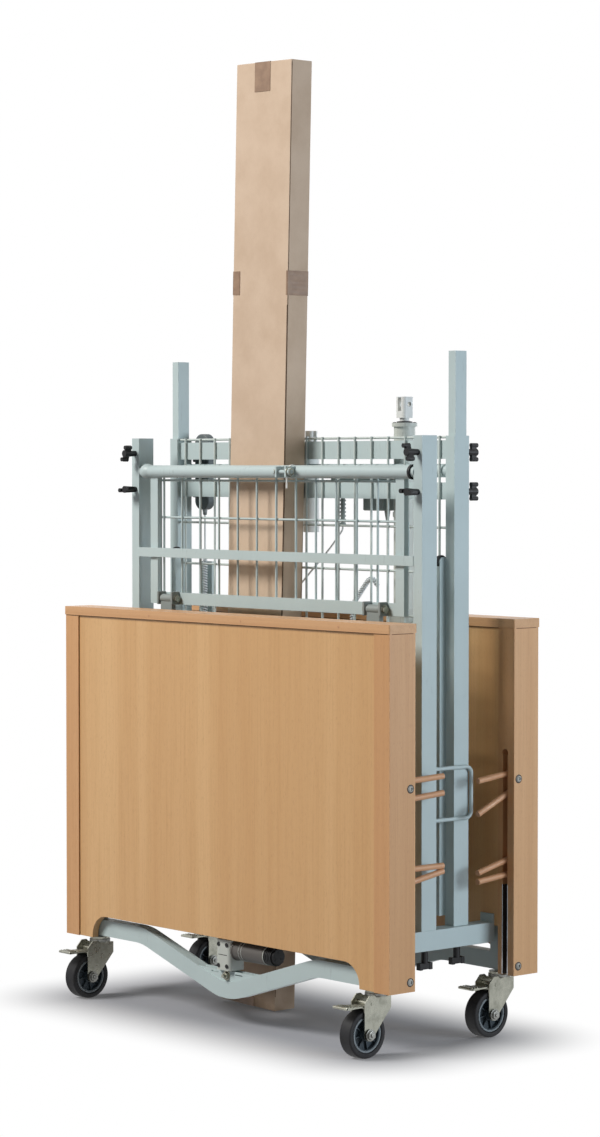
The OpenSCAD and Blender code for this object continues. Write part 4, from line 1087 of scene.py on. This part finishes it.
@dataclass
class FootHalf:
    """Foot half of the bed frame, with its thigh and calf rests and mattress hoops."""

    torsion: tuple[float, float] = (-25.5, 1136.2)
    torsion_half: float = 426.0
    hinge: Triple = (331.0, -37.5, 863.2)
    plate_back: float = -27.6
    hinge_nut: float = 30.2
    clevis_x: tuple[float, float] = (50.0, 85.0)
    clevis_out: float = 27.0
    tie_x: float = 64.0
    tie_lean: float = 0.14

    def dress(self) -> None:
        """Dresses the solids and adds hinges, collars, pins and a tie."""
        Softened("foot_frame").round(2.2, 100).shown("foot_half", COAT, 35)
        Softened("foot_wing_screws").round(0.9, 3.0).shown("foot_half", BLACK, 35)
        Softened("thigh_rest").round(0.8, 11, 30).shown("thigh_section", COAT, 50)
        Softened("calf_rest").shown("calf_section", COAT, 50)
        for side in SIDES:
            Softened(f"{side}_mattress_bracket").shown(f"{side}_hoop", COAT, 60)
        self.hinges()
        self.collars()
        self.clevis()
        self.tie()

    def hinges(self) -> None:
        """Dark plates over the hinge lugs, with a bolt and a nut through each."""
        plates, knuckles, bolts = Shape(), Shape(), Shape()
        x, y, z = self.hinge
        for low in (x - 26.5, x + 20.5):
            plates.box((low, y - 12.0, z - 13.0), (low + 6.0, self.plate_back, z + 15.0), 1.6, 3)
        knuckles.box((x - 19.4, y - 7.0, z - 57.5), (x + 19.4, y + 4.4, z - 6), 1.4, 3)
        knuckles.rod((x, y, z), Axis.X, 38.6, 9.4, 0.7, 36)
        for out in (-self.hinge_nut, self.hinge_nut):
            bolts.nut((x + out, y, z), Axis.X, 5.4, 7.6, 0.8)
            bolts.washer((x + out * 0.91, y, z), Axis.X, 1.4, 9.0)
        for shape, name, body, finish in ((plates, "hinge_plates", "thigh_section", DARK_COAT),
                                          (knuckles, "hinge_knuckles", "calf_section", DARK_COAT),
                                          (bolts, "hinge_bolts", "thigh_section", ZINC)):
            shape.mirrored()
            shape.piece(name, body, finish, sharp=30)

    def collars(self) -> None:
        """A black bush at the right end of the torsion tube and a tapered collar at its left end."""
        bush, collar = Shape(), Shape()
        bush.bush(10.2, 15.0, 6.0, 0.6, (self.torsion_half - 2.0, *self.torsion), Axis.X, 48)
        bush.piece("torsion_bushes", "foot_half", BLACK)
        ring = [(13.6, 0), (16.0, 0), (16.8, 2.0), (16.8, 9.0), (15.2, 13.0), (13.6, 20.0)]
        collar.turned(ring, (-self.torsion_half + 1.0, *self.torsion), Axis.X, 48)
        collar.piece("torsion_collar", "thigh_section", COAT)

    def clevis(self) -> None:
        """Bolt and nut of the actuator's clevis."""
        bolt = Shape()
        low, high = self.clevis_x
        y, z = self.torsion[0] - self.clevis_out, self.torsion[1]
        for x in (low - 3.6, high + 4.4):
            bolt.nut((x, y, z), Axis.X, 6.4, 8.4)
        for x in (low - 0.6, high + 0.7):
            bolt.washer((x, y, z), Axis.X, 1.4, 10.4)
        bolt.piece("clevis_bolt", "thigh_section", ZINC, sharp=30)

    def tie(self) -> None:
        """Cable tie round the torsion tube, with its lock and its loose end."""
        tie = Shape()
        tie.turned([(13.7, -2.4), (14.8, -2.4), (14.8, 2.4), (13.7, 2.4)], (0, 0, 0), Axis.X, 48)
        tie.box((-4.2, -19.0, -3.2), (4.2, -13.4, 4.0), 0.9)
        tie.box((-2.2, -18.6, -34.0), (2.2, -17.4, -2.0), 0.4)
        tie.moved(Matrix.Translation((self.tie_x, *self.torsion)) @ Matrix.Rotation(self.tie_lean, 4, "Z"))
        tie.piece("cable_ties", "thigh_section", WHITE)


class CordEnd(Enum):
    """What a cord's far end is."""

    PLUG = "plug"
    OBJECT = "object"


@dataclass
class CurlyCord:
    """A cord with a curled stretch, given as points (x, drop) below the side tubes' tops."""

    name: str
    node: str
    depth: float
    lead: Sequence[tuple[float, float]]
    axis: Callable[[float], Triple]
    run: float
    tail: Sequence[tuple[float, float]]
    curls: int
    end: CordEnd
    diameter: float = 3.8
    curl: float = 8.0
    per_turn: int = 16
    growing: float = 1.5

    def point(self, x: float, drop: float, out: float = 0.0) -> Vector:
        """Point in millimetres, `out` behind the cord's own plane."""
        return Vector((x, self.depth + out, HEAD_TOP - drop))

    def eased(self, knots: Sequence[tuple[float, float]], steps: int = 8) -> list[Vector]:
        """Points on a smooth curve through the knots.

        Args:
            knots: Points (x, drop) that the curve passes.
            steps: Points from one knot to the next.

        Returns:
            Points in millimetres.
        """
        line = [self.point(*knot) for knot in knots]
        made = []
        for i in range(len(line) - 1):
            a, b = line[max(i - 1, 0)], line[i]
            c, d = line[i + 1], line[min(i + 2, len(line) - 1)]
            for j in range(steps):
                f = j / steps
                bent = (2 * a - 5 * b + 4 * c - d) * f * f + (3 * b - a - 3 * c + d) * f ** 3
                made.append((2 * b + (c - a) * f + bent) / 2)
        return made + [line[-1]]

    def wound(self) -> list[Vector]:
        """The curled stretch; its curls grow and shrink smoothly at its two ends.

        Returns:
            Points in millimetres.
        """
        count, ease = self.curls * self.per_turn, self.growing * self.per_turn
        made = []
        for i in range(1, count):
            x, drop, heading = self.axis(self.run * i / count)
            turn = 2 * math.pi * i / self.per_turn
            near = min(1.0, i / ease, (count - i) / ease)
            size = self.curl / 2 * near * near * (3 - 2 * near)
            side = size * math.cos(turn)
            made.append(self.point(x + side * math.sin(heading), drop + side * math.cos(heading),
                                   size * math.sin(turn)))
        return made

    def route(self) -> list[Vector]:
        """The whole route, in metres."""
        made = self.eased(self.lead) + self.wound() + self.eased(self.tail)
        return [where * MM for where in made]

    def build(self, with_pieces: Sequence[bpy.types.Object] = ()) -> None:
        """Makes the cord as one round curve and logs its length.

        Args:
            with_pieces: Pieces on its far end; not used.
        """
        route = self.route()
        curve = bpy.data.curves.new(self.name, "CURVE")
        curve.dimensions = "3D"
        curve.bevel_depth = self.diameter / 2 * MM
        curve.bevel_resolution = 3
        curve.use_fill_caps = True
        spline = curve.splines.new("POLY")
        spline.points.add(len(route) - 1)
        for point, where in zip(spline.points, route):
            point.co = (*where, 1.0)
        spline.use_smooth = True
        cord = added(self.name, curve)
        curve.materials.append(CORD.material())
        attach(cord, "head_half")
        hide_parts(self.node)
        length = sum((b - a).length for a, b in zip(route, route[1:]))
        self.diameter * MM
        log.info("%s: %.3f m", self.name, length)


@dataclass
class HandsetCord:
    """Cord of the handset: curls below it, a low bow and the way up to the control box."""

    x: float = -388.0
    depth: float = 109.8
    exit: float = 168.0
    first: float = 240.0
    last: float = 441.6
    curls: int = 36

    def build(self) -> None:
        """Makes the cord and its strain relief."""
        lead = [(self.x, drop) for drop in (self.exit, 178, 190, 215, self.first)]
        tail = [(self.x, self.last), (-386, 458), (-372, 474), (-348, 478), (-290, 460), (-220, 424),
                (-130, 364), (-59, 304), (23, 236), (54, 206), (66, 194), (68, 184)]
        cord = CurlyCord("handset_lead", "handset_cord", self.depth, lead, self.axis, self.last - self.first,
                         tail, self.curls, CordEnd.OBJECT)
        cord.build()
        relief = Shape()
        top = HEAD_TOP - self.exit
        relief.turned([(2.1, 0), (3.0, 0), (3.4, 1.0), (5.2, 11.0), (5.2, 13.0), (2.1, 13.0)],
                      (self.x, self.depth, top), Axis.Z, 32)
        for i in range(4):
            relief.ring((self.x, self.depth, top + 2.4 + 2.5 * i), Axis.Z, 3.5 + 0.5 * i, 0.8, 32)
        relief.piece("handset_relief", "head_half", GREY)

    def axis(self, along: float) -> Triple:
        """Middle and heading of the curls at a distance along them."""
        return self.x, self.first + along, math.pi / 2


@dataclass
class MotorCord:
    """Short curly lead of the control box: it bends over, leans down and ends in a plug."""

    exit_x: float = 195.0
    relief: float = 172.0
    right: float = 165.0
    first: float = 312.0
    arch: float = 18.0
    turn: float = 137.0
    lean: float = 56.0
    fall: float = 30.0
    curls: int = 30
    pitch: float = 5.6
    depth: float = 119.3
    straight: float = 60.0

    def build(self) -> None:
        """Makes the cord, its plug and its strain relief."""
        lead = [(self.exit_x, drop) for drop in (152, 250, 350, 430)]
        lead += [(191, 446), (180, 452), (169, 446)]
        lead += [(self.right, drop) for drop in (430, 380, self.first)]
        x, foot, _ = self.axis(self.run())
        end = foot + self.straight
        tail = [(x, foot), (x, foot + self.straight / 2), (x, end)]
        cord = CurlyCord("motor_lead", "motor_cord", self.depth, lead, self.axis, self.run(), tail,
                         self.curls, CordEnd.PLUG)
        cord.build([self.plug(x, HEAD_TOP - end)])
        relief = Shape()
        relief.turned([(2.1, 0), (3.1, 0), (3.4, 1.0), (6.0, 17.0), (6.0, 21.0), (2.1, 21.0)],
                      (self.exit_x, self.depth, HEAD_TOP - self.relief), Axis.Z, 32)
        relief.piece("motor_relief", "head_half", GREY)

    def run(self) -> float:
        """Length of the curled stretch."""
        return self.curls * self.pitch

    def axis(self, along: float) -> Triple:
        """Runs over the arch, down the lean, round and straight down.

        Args:
            along: Distance along the curled stretch.

        Returns:
            Middle (x, drop) and heading of the curls there.
        """
        full = math.radians(self.turn)
        bend = min(along / self.arch, full)
        x = self.right - self.arch * (1 - math.cos(bend))
        drop = self.first - self.arch * math.sin(bend)
        heading = math.pi / 2 + bend
        along -= self.arch * full
        if along <= 0:
            return x, drop, heading
        slid = min(along, self.lean)
        x += slid * math.cos(heading)
        drop -= slid * math.sin(heading)
        along -= self.lean
        if along <= 0:
            return x, drop, heading
        bend = min(full + along / self.fall, math.pi)
        x += self.fall * (math.cos(bend) - math.cos(full))
        drop -= self.fall * (math.sin(bend) - math.sin(full))
        rest = max(0.0, along - self.fall * (math.pi - full))
        return x, drop + rest, math.pi / 2 + bend

    def plug(self, x: float, top: float) -> bpy.types.Object:
        """Round plug with a ribbed grip, a sealing ring and its pins.

        Args:
            x: Place along X.
            top: Height of its top.

        Returns:
            The plug.
        """
        shape = Shape()
        shape.turned([(2.0, 0.5), (3.2, 0.5), (4.6, -8), (7.0, -11), (7.0, -30), (6.0, -31), (6.0, -44),
                      (5.4, -45), (5.0, -44), (5.0, -36), (0, -36)], (x, self.depth, top), Axis.Z, 40)
        for i in range(5):
            shape.ring((x, self.depth, top - 14 - 3.2 * i), Axis.Z, 7.0, 0.55, 40)
        for i in range(4):
            turn = math.radians(45 + 90 * i)
            pin = (x + 2.6 * math.cos(turn), self.depth + 2.6 * math.sin(turn), top - 39.5)
            shape.rod(pin, Axis.Z, 8.0, 0.7, sides=12)
        return shape.piece("motor_plug", "head_half", DARK, sharp=30)


@dataclass
class HeadHalf:
    """Head half of the bed frame: backrest mesh, actuators, control box and handset."""

    act_y: float = 123.5
    back_act_x: float = 242.0
    thigh_act_x: float = -48.0
    clamp_long: float = 10.0
    back_clamps: tuple[float, float] = (1130.0, 1044.0)
    thigh_clamp: float = 1104.0
    box_low: Triple = (40.0, 99.3, 1084.2)
    box_high: Triple = (205.0, 139.3, 1123.2)
    screw_inset: float = 9.0
    pivot: Triple = (416.5, 56.5, 958.2)

    def dress(self) -> None:
        """Dresses the solids and adds what the solids leave out."""
        Softened("head_frame").round(2.2, 100).shown("head_half", COAT, 35)
        Softened("backrest_mesh").shown("head_half", WIRE_ZINC, 60)
        Softened("head_wing_screws").round(0.9, 3.0).shown("head_half", BLACK, 35)
        Softened("backrest_actuator").round(1.6, 12).shown("head_half", MOTOR, 35)
        Softened("thigh_actuator").round(1.6, 12).shown("head_half", WHITE, 35)
        Softened("backrest_rod").round(1.4, 8).shown("backrest_ram", WHITE, 35)
        Softened("thigh_rod").round(1.4, 8).shown("thigh_ram", WHITE, 35)
        Softened("control_box").round(3.0, 20, rounds=3).shown("head_half", BOX, 35)
        Softened("handset").round(3.4, 0, 160, rounds=4).shown("head_half", SHELL, 50)
        Softened("handset_keypad").round(0.7).shown("head_half", RUBBER, 35)
        self.marks()
        self.box_details()
        self.actuator_details()
        self.pivots()

    def marks(self) -> None:
        """Plain arrows on the eight keys: up keys on one side, down keys on the other."""
        shape = Shape()
        low, high = box_of("handset_keypad")
        middle = (low + high) / 2
        for column, point in ((-8, 1), (8, -1)):
            for row in range(4):
                place = Matrix.Translation((middle.x + column, high.y, middle.z + 42 - 28 * row))
                lift = place @ Matrix.Rotation(math.radians(90 * point), 4, "Y") @ Axis.Y.turn()
                shape.add(bmesh.ops.create_cone, lift, cap_ends=True, segments=3, radius1=2.9, radius2=2.9,
                          depth=0.5)
        shape.piece("keypad_arrows", "head_half", MARK, sharp=30)

    def box_details(self) -> None:
        """Lid seam, cooling ribs and lid screws of the control box."""
        ribs, screws = Shape(), Shape()
        low, high, inset = Vector(self.box_low), Vector(self.box_high), self.screw_inset
        for i in range(9):
            x = low.x + 22 + 14 * i
            ribs.box((x, high.y - 0.6, low.z + 8), (x + 6, high.y + 1.6, high.z - 8), 0.7)
        seam = low.y + 12.0
        ribs.box((low.x - 0.7, seam, low.z + 4), (high.x + 0.7, seam + 2.2, high.z - 4), 0.5)
        ribs.piece("box_ribs", "head_half", BOX)
        head = [(0, 0.4), (1.6, 0.4), (2.0, 1.1), (3.6, 1.1), (4.2, 0.6), (4.2, -0.4), (0, -0.4)]
        for x in (low.x + inset, high.x - inset):
            for z in (low.z + inset, high.z - inset):
                screws.turned(head, (x, high.y, z), Axis.Y, 24)
        screws.piece("box_screws", "head_half", ZINC, sharp=30)

    def actuator_details(self) -> None:
        """Seals, clamps and screws of the two bed actuators."""
        dark, pale = Shape(), Shape()
        back_top, thigh_top = (box_of(f"{name}_actuator")[1].z for name in ("backrest", "thigh"))
        for x, top, radius in ((self.back_act_x, back_top, 15.0), (self.thigh_act_x, thigh_top, 13.0)):
            dark.turned([(10.3, -1.0), (radius + 1.6, -1.0), (radius + 1.0, 2.6), (11.2, 3.4), (10.3, 3.0)],
                        (x, self.act_y, top), Axis.Z, 44)
        for z in self.back_clamps:
            pale.bush(21.8, 23.9, self.clamp_long, 0.3, (self.back_act_x, self.act_y, z), Axis.Z, 56)
        place = (self.thigh_act_x, self.act_y, self.thigh_clamp)
        pale.bush(16.8, 18.7, self.clamp_long, 0.3, place, Axis.Z, 56)
        head = [(1.5, -0.4), (3.4, -0.4), (3.4, 0.9), (2.9, 1.4), (1.5, 1.4), (1.5, 0.2)]
        for i in range(4):
            turn = math.radians(45 + 90 * i)
            spot = (self.back_act_x + 20.5 * math.cos(turn), self.act_y + 20.5 * math.sin(turn), back_top)
            dark.turned(head, spot, Axis.Z, 18)
        dark.piece("ram_seals", "head_half", BLACK, sharp=30)
        pale.piece("ram_clamps", "head_half", MOTOR)

    def pivots(self) -> None:
        """Black bushes where the backrest turns in the side tubes."""
        shape = Shape()
        shape.bush(8.8, 13.0, 8.5, 0.8, self.pivot, Axis.X, 40)
        shape.mirrored()
        shape.piece("backrest_bushes", "head_half", BLACK)


@dataclass
class PackedRails:
    """The carton between the two halves, with the four side rails in it."""

    width: float = 177.0
    thick: float = 56.0
    height: float = 1986.0
    foot: Triple = (-123.5, 9.6, 5.5)
    lean: float = 1.62
    inset: float = 1.5
    tape_on: float = 0.45
    tape_back: float = 0.25
    tape_x: tuple[float, float] = (-29.0, 21.0)
    walls: tuple[int, int, int] = (8, 4, 40)

    def place(self) -> Matrix:
        """Place of the carton's front lower edge, leaned to one side."""
        return Matrix.Translation(self.foot) @ Matrix.Rotation(math.radians(self.lean), 4, "Y")

    def dress(self) -> None:
        """Makes the carton and its tape, and dresses the rails."""
        dress_node("side_rails", RAIL_WOOD)
        self.carton()
        self.tape()
        self.edge()

    def bow(self, where: Vector) -> Vector:
        """Moves a point of the carton's wall inwards where the long board is soft.

        Args:
            where: Point in the carton's own frame.

        Returns:
            The moved point.
        """
        up = where.z / self.height
        slack = math.sin(math.pi * up) * (0.7 + 0.3 * math.sin(9 * up + 1.0))
        side = where.x / (self.width / 2)
        face = (where.y - self.thick / 2) / (self.thick / 2)
        dent = 0.5 * math.sin(37 * up + 2.0) * math.sin(11 * up)
        where.y -= face * (1 - side * side) * (1.2 * slack + 0.5 + dent * 0.5)
        where.x -= side * (1 - face * face) * (0.9 * slack + 0.2)
        return where

    def carton(self) -> None:
        """A long folded box: walls cut into fields that bow a little, soft creased edges and end flaps."""
        shape = Shape()
        half, inset = self.width / 2, self.inset
        shape.box((-half, 0, 0), (half, self.thick, self.height), inset, 3)
        start = Vector((-half, 0, 0))
        for axis, count, size in zip(Axis, self.walls, (self.width, self.thick, self.height)):
            for i in range(1, count):
                at = start + axis.value * size * i / count
                whole = shape.mesh.verts[:] + shape.mesh.edges[:] + shape.mesh.faces[:]
                bmesh.ops.bisect_plane(shape.mesh, geom=whole, plane_co=at, plane_no=axis.value,
                                       dist=shape.merge)
        for vert in shape.mesh.verts:
            vert.co = self.bow(vert.co)
        for z in (-0.1, self.height - 0.9):
            for near, far in ((inset, self.thick / 2 - 0.6), (self.thick / 2 + 0.6, self.thick - inset)):
                shape.box((inset - half, near, z), (half - inset, far, z + 1.0), 0.3)
        shape.moved(self.place())
        shape.piece("carton_box", "packed_rails", CARD, ["carton"], 30)

    def tape(self) -> None:
        """Strips of tape over both ends and round the upper part."""
        shape = Shape()
        half, thick, top = self.width / 2, self.thick, self.height
        left, right = self.tape_x
        proud, back = self.tape_on, thick + self.tape_back
        strips = [((left, -proud, top - 61), (right, 0.2, top + 0.3)),
                  ((left, -proud, top - 0.3), (right, back, top + 0.6)),
                  ((left, thick - 0.2, top - 70), (right, back, top + 0.3)),
                  ((left, -proud, 0), (right, 0.2, 66)),
                  ((left, thick - 0.2, 0), (right, back, 70)),
                  ((-half - proud, -proud, 1502), (22 - half, 0.25, 1552)),
                  ((half - 5, -proud, 1500), (half + proud, 0.25, 1551)),
                  ((half - 0.6, -proud, 1500), (half + proud, back, 1551)),
                  ((-half - proud, -proud, 1502), (-half + 0.6, back, 1552)),
                  ((-half - proud, thick - 0.2, 1501), (half + proud, back, 1551))]
        for low, high in strips:
            shape.box(low, high, 0.15, 1)
        shape.moved(self.place())
        shape.piece("carton_tape", "packed_rails", TAPE, sharp=30)

    def edge(self) -> None:
        """Open edge of the glued flap along one corner: dark strips of painted shadow in the gap under the
        flap, with its torn corrugated edge.
        """
        shape = Shape()
        half = self.width / 2
        # Dark strips along the corner: painted shadow in the flap's open gap, and the flap's torn edge
        shape.box((half - 0.9, 1.0, 30), (half + 0.2, 2.6, self.height - 3), 0.2, 1)
        shape.box((half - 1.4, -0.25, 620), (half - 0.2, 0.9, 1480), 0.2, 1)
        shape.moved(self.place())
        shape.piece("carton_gap_shade_and_edge", "packed_rails", GAP_SHADE_AND_EDGE)


@dataclass(frozen=True)
class Lamp:
    """A square soft lamp that looks at the middle of the bed."""

    name: str
    where: Triple
    size: float
    power: float
    colour: Triple = (1.0, 1.0, 1.0)
    target: Triple = (0.0, 0.0, 0.8)

    def build(self) -> None:
        """Hangs the lamp."""
        data = bpy.data.lights.new(self.name, "AREA")
        data.size = self.size
        data.energy = self.power
        data.color = self.colour
        made = added(self.name, data)
        made.location = self.where
        look = Vector(self.target) - Vector(self.where)
        made.rotation_euler = look.to_track_quat("-Z", "Y").to_euler()


@dataclass
class Studio:
    """Camera, soft lamps, white world and a floor that keeps the cast shadow and is darkened round the bed as
    painted shadow.
    """

    eye: Triple = (4.78143, -4.08465, 1.14589)
    azimuth: float = 49.146
    pitch: float = 1.9206
    lens: float = 95.81
    sensor: float = 36.0
    lamps: tuple[Lamp, ...] = (Lamp("key", (-2.4, -4.7, 5.2), 2.4, 490.0, (1.0, 0.98, 0.95)),
                               Lamp("right", (5.4, 2.2, 1.6), 2.4, 200.0, (0.82, 0.91, 1.0)),
                               Lamp("back", (-0.8, 6.0, 3.0), 3.0, 150.0))
    world: float = 0.085
    world_colour: Colour = (0.96, 0.98, 1.0, 1.0)
    white: Colour = (1.0, 1.0, 1.0, 1.0)
    floor_half: float = 40.0
    floor_colour: Colour = (0.27, 0.275, 0.3, 1.0)
    floor_white: tuple[float, float] = (0.05, 1.0)
    floor_reach: float = 0.3
    floor_mirror: float = 0.8
    shadow_half: tuple[float, float] = (0.42, 0.13)

    def camera(self) -> None:
        """Puts the camera where the photograph was taken."""
        data = bpy.data.cameras.new("camera")
        data.sensor_fit = "VERTICAL"
        data.sensor_height = self.sensor
        data.lens = self.lens
        data.clip_end = 100.0
        made = added("camera", data)
        made.location = self.eye
        made.rotation_euler = (math.radians(90 - self.pitch), 0.0, math.radians(self.azimuth))
        bpy.context.scene.camera = made

    def build(self) -> None:
        """Lamps, world and floor."""
        bpy.context.scene.view_settings.view_transform = "Standard"
        for lamp in self.lamps:
            lamp.build()
        self.sky()
        self.floor()

    def sky(self) -> None:
        """World that lights softly and shows white."""
        world = bpy.data.worlds.new("studio")
        bpy.context.scene.world = world
        world.use_nodes = True
        nodes = Nodes(world.node_tree)
        lit = nodes.node("Background", None, {"Color": self.world_colour, "Strength": self.world})
        white = nodes.node("Background", None, {"Color": self.white})
        share = nodes.seen("Camera", "Glossy", "Transmission")
        both = nodes.node("MixShader", None, {0: share, 1: nodes.wire(lit), 2: nodes.wire(white)})
        nodes.node("OutputWorld", None, {"Surface": nodes.wire(both)})

    def floor(self) -> None:
        """Large floor, whitened for the camera away from the bed; round the bed's footprint its grey colour
        stays as painted shadow, with the cast shadow in it.
        """
        mesh = bpy.data.meshes.new("floor")
        plane = bmesh.new()
        bmesh.ops.create_grid(plane, x_segments=1, y_segments=1, size=self.floor_half)
        plane.to_mesh(mesh)
        plane.free()
        made = added("floor", mesh)
        shader = Shader("floor_paper")
        shader.dress(Base_Color=self.floor_colour, Roughness=0.9)
        glow = shader.node("Emission", None, {"Color": self.white, "Strength": 1.0})
        x, y, _ = shader.parts(shader.place())
        out_x, out_y = (shader.math("MAXIMUM", shader.math("ABSOLUTE", along) - half, 0.0)
                        for along, half in zip((x, y), self.shadow_half))
        far = shader.math("SQRT", out_x * out_x + out_y * out_y)
        # Near the bed's footprint the floor keeps its grey colour as painted shadow; farther out it turns
        # white for the camera
        white = shader.remap(far, 0.0, self.floor_reach, self.floor_white)
        share = shader.seen("Camera") * white + shader.seen("Glossy", "Transmission") * self.floor_mirror
        both = shader.node("MixShader", None,
                           {0: share, 1: shader.wire(shader.surface), 2: shader.wire(glow)})
        shader.node("OutputMaterial", {"is_active_output": True}, {"Surface": shader.wire(both)})
        mesh.materials.append(shader.material)


def main() -> None:
    """Builds the scene: camera and cords first, then each sub-assembly, then the studio."""
    logging.basicConfig(level=logging.INFO, format="%(message)s")
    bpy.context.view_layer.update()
    studio = Studio()
    studio.camera()
    HandsetCord().build()
    MotorCord().build()
    boards = (EndBoard(End.FRONT), EndBoard(End.REAR))
    for board in boards:
        board.dress()
    BoardBolts(boards).build()
    for board in boards:
        Chassis(board.end.value, board.middle(), -board.inward()).dress()
    for end in End:
        for side in SIDES:
            Castor(f"{end.value}_{side}").dress()
    Storage().dress()
    FootHalf().dress()
    HeadHalf().dress()
    PackedRails().dress()
    studio.build()


if __name__ == "__main__":
    main()
